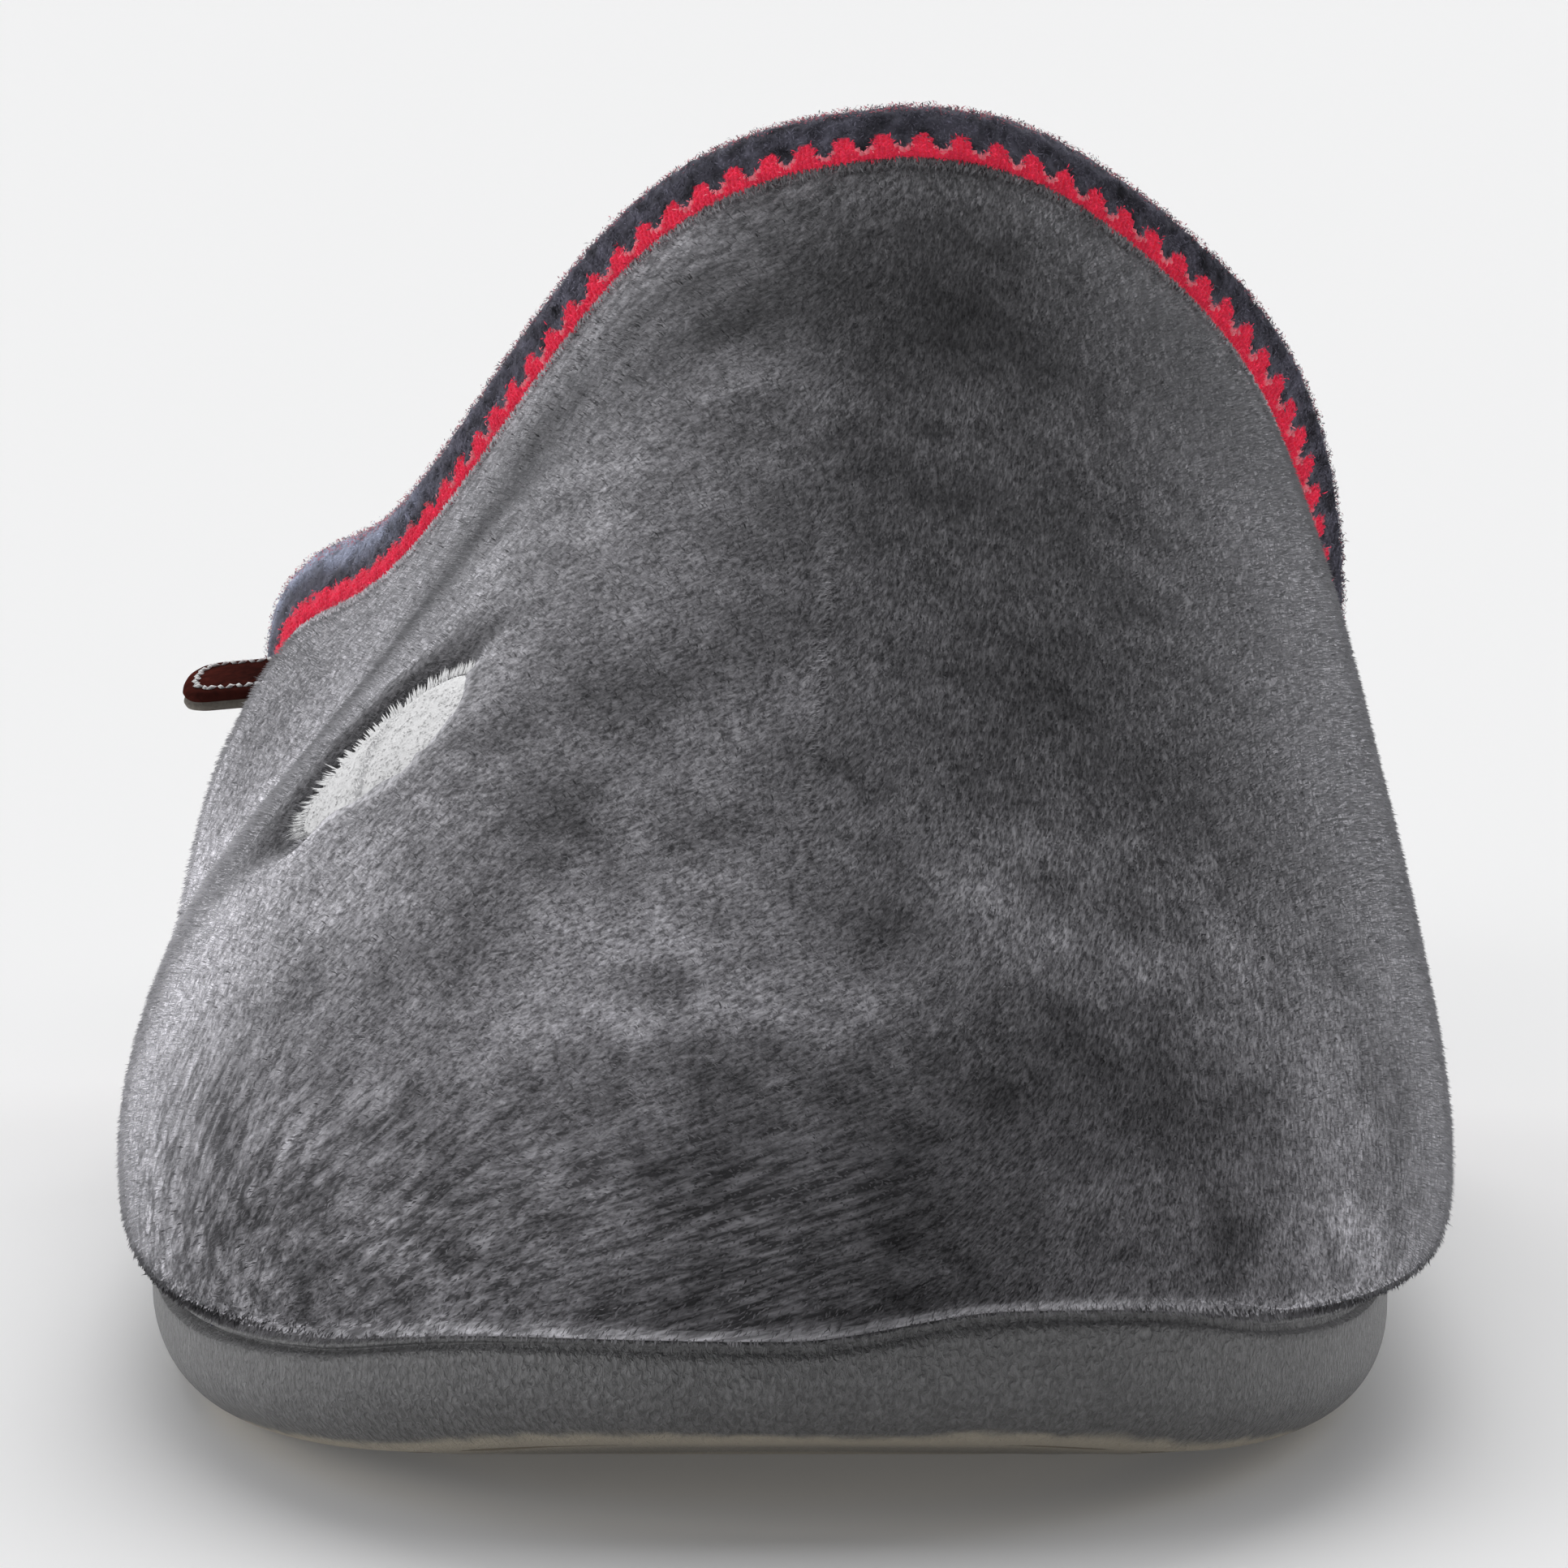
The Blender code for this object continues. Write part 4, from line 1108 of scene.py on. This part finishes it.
def make_midsole():
    """The sole's side as rings from its rim down, with a lip, a groove under it and a low edge that wanders.

    A low rib inside the rim closes the seam under the upper.
    Each ring is the plan moved out by a profile that follows the height over the underside.
    """
    count = 420
    plan, normal, around = sole_outline(count)
    rows = []
    heights = []
    groove = lip_shown(plan[:, 0], plan[:, 1])
    rim = rim_top(plan[:, 1]) + rim_raise(plan[:, 0], plan[:, 1])
    thickness = rim - lift(plan[:, 1])
    lip = (
        (-2.0, 0.0, 0.0, 0.0), (-1.1, 0.0, 0.0, 0.55), (-0.55, 0.0, 0.0, 0.75), (-0.3, -0.02, 0.0, 0.2),
        (-0.08, -0.08, 0.0, 0.0), (0.1, -0.25, 0.0, 0.0), (0.12, -0.5, 0.0, 0.0), (0.05, -0.62, -0.2, 0.0),
        (0.0, -0.72, -0.5, 0.0), (0.03, -0.84, -0.5, 0.0), (0.08, -0.95, -0.15, 0.0), (0.1, -1.1, 0.0, 0.0),
    )
    covered = ease(plan[:, 1], 192 * MM, 176 * MM)
    for out, below, cut, rib in lip:
        rows.append(np.full(count, out * MM) + cut * MM * groove)
        heights.append(rim + below * MM + rib * MM * covered)
    wander = (0.12 + 0.09 * noise(np.column_stack([plan, 0 * around]), 7 * MM, 21)) * MM
    for share in 1 - (1 - np.linspace(0.02, 1, 26)) ** 1.8:
        above = (thickness - 1.1 * MM) * (1 - share) + wander * share
        rows.append(edge_round(above) + 0.12 * MM)
        heights.append(lift(plan[:, 1] + normal[:, 1] * rows[-1]) + above)
    toe = ease(plan[:, 1], 60 * MM, 25 * MM)
    for under in (4, 8, 12):
        rows.append(edge_round(wander) - (0.4 + (under - 0.4) * toe) * MM)
        below = lift(plan[:, 1] + normal[:, 1] * rows[-1])
        heights.append(below + wander * (1 - toe) - 0.12 * MM * toe)
    out = np.array(rows)
    height = np.array(heights)
    points = np.concatenate([plan[None] + normal[None] * out[..., None], height[..., None]], -1)
    steps = np.linalg.norm(np.diff(points, axis=0), axis=-1)
    down = np.concatenate([np.zeros((1, count)), np.cumsum(steps, 0)])
    uv = np.stack([np.broadcast_to(around, down.shape), down], -1).reshape(-1, 2)
    faces = grid_faces(len(rows), count, closed=True)
    caps = ring_caps(0, count, True) + ring_caps((len(rows) - 1) * count, count, False)
    over = height - lift(plan[None, :, 1] + normal[None, :, 1] * out)
    ragged = 0.3 * MM * noise(points, 6 * MM, 22) + 0.25 * MM * noise(points, 1.5 * MM, 23)
    worn = 0.85 * ease(over + ragged, 1.5 * MM, 0.4 * MM)
    worn[-3:] = np.array([0.55, 0.5, 0.8])[:, None]
    worn = np.repeat(worn.reshape(-1, 1), 3, 1)
    piece = add_piece(
        "midsole_skin", "midsole", points, [faces] + caps, [sole_skin],
        uv={"Around": uv}, paint={"worn": worn},
    )
    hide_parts("midsole")
    return piece


def make_footbed():
    """Padded footbed: rings of the sole's plan drawn in to a middle line, crowned towards the middle."""
    count = 300
    plan, normal, _ = sole_outline(count)
    inset = curve(plan[:, 1], INSOLE_INSET, INSOLE_INSET_COLUMNS, "inset")
    base = plan - normal * inset[:, None]
    spine = np.stack([np.zeros(count), np.clip(base[:, 1], 40 * MM, 250 * MM)], -1)
    profile = (
        (0.02, 0.35), (0.0, 1.2), (0.0, 3.2), (0.008, 4.3), (0.03, 5.0), (0.08, 5.35),
        (0.2, 5.55), (0.4, 5.6), (0.6, 5.6), (0.8, 5.6), (0.99, 5.6),
    )
    rings = []
    for share, above in profile:
        flat = base + (spine - base) * share
        rings.append(np.column_stack([flat, rim_top(flat[:, 1]) + above * MM]))
    points = np.array(rings)
    faces = grid_faces(len(profile), count, closed=True)[:, ::-1]
    caps = ring_caps((len(profile) - 1) * count, count, True) + ring_caps(0, count, False)
    piece = add_piece("footbed", "insole", points, [faces] + caps, [fleece_ground])
    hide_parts("insole")
    return points


def make_footbed_fleece(rings):
    """Curly fleece over the footbed, its hairs leaning every way."""
    top = rings[3:]
    p = top.reshape(len(top), -1, 3)
    after = np.roll(p, -1, axis=1)
    area = np.linalg.norm(np.cross(after[:-1] - p[:-1], p[1:] - p[:-1]), axis=-1)
    count = 30000
    total = np.cumsum(area.ravel())
    cell = np.searchsorted(total, (np.arange(count) + dice.random(count)) / count * total[-1])
    i, j = np.divmod(np.clip(cell, 0, total.size - 1), area.shape[1])
    u = dice.random(count)[:, None]
    v = dice.random(count)[:, None]
    outer = p[i, j] * (1 - v) + after[i, j] * v
    inner = p[i + 1, j] * (1 - v) + after[i + 1, j] * v
    root = outer * (1 - u) + inner * u
    normal = unit(np.cross(after[i, j] - p[i, j], p[i + 1, j] - p[i, j]))
    normal = np.where(normal[:, 2:] < 0, -normal, normal)
    fleece_hairs("footbed_fleece", "insole", root, normal, 1.7 * MM, FLEECE)


def fleece_hairs(name, slot, root, normal, length, colour):
    """Short curly hairs in locks: the lean follows a coarse noise, so neighbours curl together."""
    curl = math.pi * 2 * noise(root, 2.4 * MM, 31) + 0.5 * dice.standard_normal(len(root))
    side = unit(np.cross(normal, np.array([0.3, 1.0, 0.2])))
    other = np.cross(normal, side)
    aim = side * np.cos(curl)[:, None] + other * np.sin(curl)[:, None]
    rise = unit(normal + 0.5 * aim)
    lean = unit(normal * 0.35 + aim)
    tone = 1 + 0.3 * noise(root, 1.3 * MM, 32) + 0.15 * dice.standard_normal(len(root))
    tint = colour * np.clip(tone, 0.3, 2)[:, None]
    reach = length * (1 + 0.2 * dice.standard_normal(len(root)))
    # Painted shade: roots are tinted darker than tips, for the shade deep in the fleece
    hairs(
        name, slot, root, rise, lean, reach, 0.32 * length,
        normal, tint * 0.5, tint * 1.3, fleece_pile, soft=0.7,
    )


def make_lining_fleece(ground):
    """Fleece on the inner face of the upper, where the collar's mouth shows it."""
    seen = np.broadcast_to(ease(ground.along[:, None], 0.35, -0.2) + 0.05, ground.point.shape[:2])
    row, column = ground.scatter(26000, seen)
    normal = unit(ground.at(ground.normal, row, column))
    root = ground.at(ground.point, row, column) - normal * LINING_DEPTH
    fleece_hairs("lining_fleece", "upper", root, -normal, 1.7 * MM, FLEECE)


def band_surface(count, rows):
    """The collar band on a grid: its profile, in even steps, carried along the collar's edge.

    Past the red border it swells at the outer end and narrows on the inner side.
    Returns points, directions along the collar, up the profile and out of the band, its height and length.
    """
    point, out, tilted, across, length = collar_frames(count)
    fine = np.linspace(0, len(BAND_PROFILE) - 1, 400)
    index = np.arange(len(BAND_PROFILE))
    smooth = smoothed(taken(fine, index, BAND_PROFILE), 41)
    climbed = travelled(smooth)
    at = rows if np.ndim(rows) else np.linspace(0, climbed[-1], rows)
    profile = taken(at, climbed, smooth)
    puff = PUFF * ease(across, -0.28, -0.48) * ease(across, -0.8, -0.64)
    stretch = 1 + puff - TOP_NARROW * ease(across, -0.4, -0.1) - INNER_NARROW * ease(across, 0.1, 0.5)
    past = profile[:, 1:] + np.maximum(profile[:, 1:] - BAND_FIXED, 0) * (stretch[None] - 1)
    points = point[None] + out[None] * profile[:, None, :1] + tilted[None] * past[..., None]
    sideways = unit(np.gradient(points, axis=1))
    upward = unit(np.gradient(points, axis=0))
    outward = unit(np.cross(sideways, upward))
    return points, sideways, upward, outward, climbed[-1], length[-1]


def border_is(letter, u, v):
    """Where the border's chart has a letter, at distances along the collar and up the band."""
    chart = np.array([list(line) for line in BORDER_CHART])
    column = np.floor(u / STITCH_WIDTH).astype(int) % chart.shape[1]
    row = np.floor(v / STITCH_HEIGHT).astype(int)
    inside = (row >= 0) & (row < len(chart))
    return inside & (chart[np.clip(row, 0, len(chart) - 1), column] == letter)


def border_colour(u, v, place):
    """Colour of the band at distances along and up it, wobbled by noise, and whether it is navy there."""
    stray = (0.16 + 0.22 * ease(place[..., 0], 0, -18 * MM)) * MM
    v = v * (1 - 0.3 * ease(place[..., 0], -30 * MM, -44 * MM))
    u = u + stray * noise(place, 0.7 * MM, 43)
    v = v + stray * noise(place, 0.7 * MM, 44)
    felted = ease(place[..., 0], -24 * MM, -36 * MM)
    filled = v < felted * (4.6 + 1.1 * noise(place, 0.5 * MM, 48)) * STITCH_HEIGHT
    worn_off = v > (7 - 2.4 * felted) * STITCH_HEIGHT + 0.3 * MM * noise(place, 0.5 * MM, 49)
    is_red = (border_is("r", u, v) | filled) & ~worn_off
    is_pale = border_is("p", u, v) & ~is_red & ~worn_off
    # Painted highlight: paler felt high on the band at the outer end, where the roll's top faces the light
    # from above
    felt_highlight = ease(place[..., 0], -30 * MM, -40 * MM) * ease(place[..., 2], 36 * MM, 44 * MM)
    felt_highlight = (felt_highlight * ease(v, 2.6 * MM, 4.2 * MM))[..., None]
    navy = NAVY * (1 - felt_highlight) + FELT_HIGHLIGHT * felt_highlight
    rim = 0.5 * ease(v, 0.5 * MM, 0.0)[..., None]
    red = RED * (1 - rim) + SOFT_RED * rim
    colour = np.where(is_red[..., None], red, np.where(is_pale[..., None], PALE_RED, navy))
    is_navy = ~(is_red | is_pale)
    heather = 1 + 0.7 * noise(place, 1.1 * MM, 41) + 0.5 * noise(place, 0.45 * MM, 45)
    calm = 1 + 0.16 * noise(place, 0.6 * MM, 42)
    return colour * np.where(is_navy, np.clip(heather, 0.25, 2.6), calm)[..., None], is_navy


def make_collar():
    """Collar band: a core coloured by the border's chart, red lobes of yarn on it, and felted wool above.

    The core is the band's surface on a grid. The lobes come two for each stitch, and hairs make the felt.
    """
    _, _, _, _, tall, long = band_surface(101, 33)
    edge_height = EDGING_ROWS * STITCH_HEIGHT
    low = np.linspace(0, edge_height, 13)
    high = np.concatenate([np.linspace(edge_height, 0.55 * tall, 33), np.linspace(0.55 * tall, tall, 14)[1:]])
    pieces = {}
    for node, at, columns in (("collar_edging", low, 1101), ("collar_roll", high, 901)):
        core, _, _, out, _, _ = band_surface(columns, at)
        u = np.broadcast_to(np.linspace(0, long, columns)[None], core.shape[:2])
        v = np.broadcast_to(at[:, None], core.shape[:2])
        tint, is_navy = border_colour(u, v, core)
        lump = np.where(is_navy, 0.16 * noise(core, 0.9 * MM, 46) + 0.1 * noise(core, 0.4 * MM, 47), -0.04)
        core = core + out * lump[..., None] * MM
        faces = grid_faces(*core.shape[:2])[:, ::-1]
        in_navy = is_navy.reshape(-1)[faces].mean(1) > 0.5
        if node == "collar_roll":
            row = np.arange(len(at) // 2 - 1)
            cap = np.stack([row, row + 1, len(at) - 2 - row, len(at) - 1 - row], -1) * columns
            faces = np.concatenate([faces, cap, cap[:, ::-1] + columns - 1])
            in_navy = np.concatenate([in_navy, np.ones(2 * len(cap))])
        pieces[node] = [core.reshape(-1, 3), faces, tint.reshape(-1, 3), in_navy]

    columns = int(long / STITCH_WIDTH)
    rows = len(BORDER_CHART)
    at = (np.arange(rows) + 0.5) * STITCH_HEIGHT
    points, sideways, upward, outward, _, _ = band_surface(columns, at)
    u = np.broadcast_to((np.arange(columns) + 0.5)[None] * STITCH_WIDTH, (rows, columns))
    v = np.broadcast_to(at[:, None], (rows, columns))
    yarn = border_is("r", u, v) | border_is("p", u, v)
    tint, _ = border_colour(u, v, points)
    tint = np.where(border_is("p", u, v)[..., None], tint * 1.1, np.maximum(tint, DEEP_RED))
    hand = np.where(np.arange(columns) % 2 == 0, -1.0, 1.0)[None, :, None]
    axis = unit(upward - sideways * (hand * 0.42 + 0.2 * dice.standard_normal((rows, columns, 1))))
    shift = 0.05 * MM * dice.standard_normal((rows, columns, 2))
    centre = points + sideways * shift[..., :1] + upward * shift[..., 1:]
    longest = axis * STITCH_HEIGHT * 0.9
    wide = np.cross(outward, axis) * STITCH_WIDTH * 0.72
    deep = outward * 0.26 * MM
    for node, in_piece in (("collar_edging", at < edge_height), ("collar_roll", at >= edge_height)):
        core, faces, core_tint, in_navy = pieces[node]
        picked = yarn & in_piece[:, None]
        lobe_points, lobe_faces = beads(centre[picked], longest[picked], wide[picked], deep[picked])
        both = np.concatenate([core, lobe_points])
        paint = np.concatenate([core_tint, np.repeat(tint[picked], 6, axis=0)])
        slots = np.concatenate([in_navy, np.zeros(len(lobe_faces))])
        piece = add_piece(
            node + "_knit", node, both, [faces, lobe_faces + len(core)], [red_yarn_glow, navy_wool],
            paint={"tint": paint}, slots=slots,
        )
        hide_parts(node)

    count = 70000
    columns = 1201
    at = np.linspace(0, 0.68 * tall, 61)
    points, sideways, upward, outward, _, _ = band_surface(columns, at)
    i = dice.integers(0, len(at), count)
    j = dice.integers(0, columns, count)
    root = points[i, j] + 0.15 * MM * dice.standard_normal((count, 3))
    tint, is_navy = border_colour(j / (columns - 1) * long, at[i], points[i, j])
    spin = dice.random(count)[:, None] * 2 * math.pi
    aim = sideways[i, j] * np.cos(spin) + upward[i, j] * np.sin(spin)
    rise = unit(outward[i, j] * 0.8 + aim)
    lean = unit(outward[i, j] * 0.15 + aim)
    tint = tint * np.clip(1.15 + 0.3 * dice.standard_normal((count, 1)), 0.5, 2.2)
    top = (np.abs(at[i] - 0.37 * tall) < 1.1 * MM) & (dice.random(count) < 0.7)
    tint = np.where((top & is_navy)[:, None], WINE, tint)
    reach = np.abs(dice.normal(0.42, 0.16, count)) * MM
    keep = is_navy | (dice.random(count) < 0.6)
    for name, node, here, material in (
        ("navy_fuzz", "collar_roll", keep & is_navy, navy_wool),
        ("red_fuzz", "collar_edging", keep & ~is_navy, red_yarn_glow),
    ):
        # Painted shade: roots are tinted darker than tips, for the shade deep in the felt
        hairs(
            name, node, root[here], rise[here], lean[here], reach[here], 0.12 * MM,
            outward[i, j][here], tint[here] * 0.75, tint[here] * 1.2, material, soft=0.75,
        )


def badge_place(a, b, height):
    """Point and normal at a height over the badge's bed, by its two shares, 1 on the rim."""
    across = BADGE_ACROSS + BADGE_HALF_ACROSS * a
    along = BADGE_ALONG + BADGE_HALF_ALONG * b
    point, _, _, normal = upper_frame(across, along)
    return point + normal * (height - BADGE_SINK)[..., None], normal


def make_badge():
    """Satin-stitched oval: rows of thread from rim to rim as ridges |cos|, crowned, with one plain seam line.

    Threads run across the share a; b counts them. The height falls to the bed at the rim.
    """
    threads = 78
    b = np.linspace(-1, 1, threads * 5 + 1)[:, None]
    s = np.linspace(-1, 1, 31)[None, :]
    wide = np.sqrt(np.clip(1 - b * b, 0, 1))
    jag = 0.035 * np.sin(37.0 * b * threads) + 0.02 * np.sin(11.3 * b * threads)
    a = BADGE_OVAL * s * (wide + jag * np.abs(s) ** 6 * np.sqrt(np.clip(wide, 0, 1)))
    b = np.broadcast_to(BADGE_OVAL * b, a.shape)
    far = np.hypot(a, b) / BADGE_OVAL
    seam = (a + 0.1 - 0.12 * b * b) / 0.05
    groove = np.exp(-seam ** 2)
    ridge = np.abs(np.cos(math.pi * threads / 2 * (b / BADGE_OVAL + 0.25 * a)))
    crown = np.sqrt(np.clip(1 - np.clip(far, 0, 1) ** 3, 0, 1))
    height = (0.35 + 1.0 * crown + 0.09 * ridge - 0.22 * groove) * MM
    points, _ = badge_place(a, b, height)
    # Painted shade: the thread is darker in the grooves between its rows and lighter on their crowns
    tone = 0.8 + 0.2 * ridge + 0.08 * noise(points, 1.2 * MM, 51)
    seam_share = 0.5 * groove[..., None]
    tint = THREAD_WHITE * tone[..., None] * (1 - seam_share) + THREAD_GREY * seam_share
    faces = grid_faces(*a.shape)
    paint = {"tint": tint.reshape(-1, 3)}
    piece = add_piece("badge_satin", "badge", points, faces, [white_thread], paint=paint)
    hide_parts("badge")

    count = 620
    turn = (0.7 + 1.1 * dice.random(count)) * math.pi
    root, normal = badge_place(0.88 * np.cos(turn), 0.88 * np.sin(turn), np.full(count, 0.7 * MM))
    rim, _ = badge_place(1.0 * np.cos(turn), 1.0 * np.sin(turn), np.full(count, 0.7 * MM))
    aim = unit(rim - root)
    upright = np.abs(dice.normal(0.35, 0.3, count))[:, None]
    rise = unit(aim + normal * upright)
    reach = np.abs(dice.normal(1.05, 0.3, count)) * MM
    tint = np.repeat(THREAD_WHITE[None] * 0.95, count, 0)
    hairs(
        "badge_bristles", "badge", root, rise, unit(rise + normal * 0.2), reach, 0.17 * MM,
        normal, tint, tint, white_thread, soft=0.8,
    )

    count = 2600
    turn = 2 * math.pi * dice.random(count)
    far = BADGE_OVAL * np.sqrt(dice.random(count))
    crown = np.sqrt(1 - (far / BADGE_OVAL) ** 3)
    root, normal = badge_place(far * np.cos(turn), far * np.sin(turn), (0.3 + crown) * MM)
    side = unit(np.cross(normal, np.array([0.2, 0.3, 1.0])))
    spin = 2 * math.pi * dice.random((count, 1))
    aim = side * np.cos(spin) + np.cross(normal, side) * np.sin(spin)
    reach = np.abs(dice.normal(0.6, 0.15, count)) * MM
    tint = THREAD_WHITE[None] * (0.72 + 0.28 * dice.random((count, 1)))
    hairs(
        "badge_fluff", "badge", root, unit(aim + normal * 0.5), unit(aim + normal * 0.25), reach, 0.13 * MM,
        normal, tint, tint, white_thread, soft=0.8,
    )


def tab_axes():
    """Root of the tab and its directions out of the wall, along the collar and up."""
    root, _, _, normal = upper_frame(TAB_ACROSS, TAB_ALONG)
    out = unit(np.array([normal[0], normal[1], 0.0]))
    out = out * math.cos(TAB_DROOP) - np.array([0, 0, math.sin(TAB_DROOP)])
    root = root - out * 0.6 * SHOULDER
    along = unit(np.cross(np.array([0, 0, 1.0]), out))
    up = np.cross(out, along)
    rolled = along * math.cos(TAB_ROLL) - up * math.sin(TAB_ROLL)
    return root, out, rolled, np.cross(out, rolled)


def tab_outline(count, shrink):
    """Tongue seen from above: straight sides and a round end, drawn in by a margin, as (out, along)."""
    half = TAB_WIDTH / 2 - shrink
    reach = TAB_LENGTH + TAB_STAND - shrink
    angle = np.linspace(math.pi / 2, -math.pi / 2, count)
    c = np.abs(np.cos(angle)) ** 0.75
    s = np.sign(np.sin(angle)) * np.abs(np.sin(angle)) ** 0.75
    start = -1.5 * MM
    body = reach - 0.55 * half
    tip = np.stack([body + 0.55 * half * c, half * s], -1)
    legs = np.linspace(start, body, 14)[:-1]
    far = np.stack([legs, np.full(len(legs), half)], -1)
    near = np.stack([legs[::-1], np.full(len(legs), -half)], -1)
    return np.concatenate([far, tip, near])


def make_side_tab():
    """Folded leather tongue: rings of its outline from the underside round the raw edge to the top."""
    root, out, along, up = tab_axes()
    half = TAB_THICKNESS / 2
    profile = (
        (4.9, -0.92, 0), (2.0, -0.98, 0), (0.55, -0.98, 0), (0.12, -0.8, 0),
        (0.0, -0.5, 1), (0.12, -0.2, 1), (0.3, -0.05, 1),
        (0.14, 0.1, 0), (0.0, 0.42, 0), (0.1, 0.78, 0), (0.5, 1.0, 0), (1.2, 0.93, 0), (1.9, 1.04, 0),
        (3.2, 1.08, 0), (4.9, 1.08, 0),
    )
    rings = []
    for shrink, level, _ in profile:
        flat = tab_outline(41, shrink * MM)
        rings.append(root + out * flat[:, :1] + along * flat[:, 1:] + up * level * half)
    points = np.array(rings)
    rows, columns = points.shape[:2]
    faces = grid_faces(rows, columns)
    is_raw = np.array([raw for _, _, raw in profile])[1:]
    slots = np.repeat(is_raw, columns - 1)
    side = np.arange(columns // 2 - 1)
    cap = np.stack([side, side + 1, columns - 2 - side, columns - 1 - side], -1)
    caps = [cap, cap[:, ::-1] + (rows - 1) * columns]
    slots = np.concatenate([slots, np.zeros(2 * len(cap))])
    skins = [brown_leather, raw_edge]
    piece = add_piece("leather_tab", "side_tab", points, [faces] + caps, skins, slots=slots)
    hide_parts("side_tab")

    line = tab_outline(41, 1.25 * MM)
    length = travelled(line)
    count = int(length[-1] / (0.95 * MM))
    ends = np.linspace(1.5 * MM, length[-1] - 1.5 * MM, count + 1)
    spot = taken(ends, length, line)
    zigzag = 0.42 * MM * (-1.0) ** np.arange(count + 1)
    ahead = unit(np.gradient(spot, axis=0))
    spot = spot + np.stack([-ahead[:, 1], ahead[:, 0]], -1) * zigzag[:, None]
    place = root + out * spot[:, :1] + along * spot[:, 1:] + up * (1.08 * half)
    centre = (place[1:] + place[:-1]) / 2
    long = (place[1:] - place[:-1]) / 2 * 0.98
    wide = unit(np.cross(up, long)) * 0.26 * MM
    deep = np.broadcast_to(up, centre.shape) * 0.24 * MM
    bead_points, bead_faces = beads(centre, long, wide, deep)
    tint = np.full((len(bead_points), 3), 0.8)
    add_piece("tab_stitches", "side_tab", bead_points, bead_faces, [white_thread], paint={"tint": tint})


def make_floor():
    """Plain pale floor under the sole, lit faintly from below like a studio table."""
    half = 6.0
    corners = np.array([(-half, -half, 0), (half, -half, 0), (half, half, 0), (-half, half, 0)], float)
    corners[:, 1] += MIDDLE
    material = grained_material(
        "pale_floor", (0.88, 0.88, 0.885), (0.87, 0.87, 0.875), 3, 0.01 * MM,
        Roughness=1.0, Specular_IOR_Level=0.0, Emission_Color=(1, 1, 1, 1), Emission_Strength=FLOOR_GLOW,
    )
    floor = make_mesh("floor", corners, np.array([(0, 1, 2, 3)]), [material])


def make_studio():
    """A light tent of soft panels with broad suns behind and beside, and the photograph's camera.

    Each panel's light falls off with the angle from its middle. The camera itself sees an even pale backdrop.
    """
    scene = bpy.context.scene
    scene.view_settings.view_transform = "Standard"
    tent = bpy.data.worlds.new("light_tent")
    scene.world = tent
    tent.use_nodes = True
    tree = tent.node_tree
    place = add_node(tree, "TexCoord").outputs["Generated"]
    light = 0
    for x, y, z, spread, strength in PANELS:
        middle = unit(np.array([x, y, z]))
        toward = add_node(tree, "VectorMath", {0: place, 1: middle}, operation="DOT_PRODUCT").outputs["Value"]
        rim = math.cos(math.radians(spread))
        core = math.cos(math.radians(spread * 0.4))
        panel = mapped(tree, toward, rim, core, 0, strength, interpolation_type="SMOOTHSTEP")
        light = calc(tree, "ADD", panel, light)
    camera_ray = add_node(tree, "LightPath").outputs["Is Camera Ray"]
    seen = add_node(tree, "Mix", {"Factor": camera_ray, "A": light, "B": BACKDROP})
    glow = tree.nodes["Background"]
    glow.inputs["Color"].default_value = (1, 1, 1, 1)
    tree.links.new(seen.outputs["Result"], glow.inputs["Strength"])

    for number, (turn, high, spread, strength) in enumerate(SUNS):
        lamp = bpy.data.lights.new("soft_sun_%d" % number, "SUN")
        lamp.energy = strength
        lamp.angle = math.radians(spread)
        sun = bpy.data.objects.new(lamp.name, lamp)
        sun.rotation_euler = (math.radians(high - 90), 0, -math.radians(turn))
        scene.collection.objects.link(sun)

    lens = bpy.data.cameras.new("camera")
    lens.sensor_width = SENSOR_WIDTH
    lens.lens = SENSOR_WIDTH * FOCAL_PIXELS / IMAGE_PIXELS
    lens.clip_start = 0.05
    camera = bpy.data.objects.new("camera", lens)
    back = np.array([0, -math.cos(CAMERA_ELEVATION), math.sin(CAMERA_ELEVATION)])
    camera.location = CAMERA_TARGET + CAMERA_DISTANCE * back
    camera.rotation_euler = (math.pi / 2 - CAMERA_ELEVATION, 0, 0)
    scene.collection.objects.link(camera)
    scene.camera = camera


make_studio()
make_floor()
make_upper_shell()
upper_ground = Ground()
make_velour_fuzz(upper_ground)
make_lining_fleece(upper_ground)
make_midsole()
make_footbed_fleece(make_footbed())
make_collar()
make_badge()
make_side_tab()
frame["nodes"]["outsole"].data.materials.clear()
frame["nodes"]["outsole"].data.materials.append(beige_rubber)
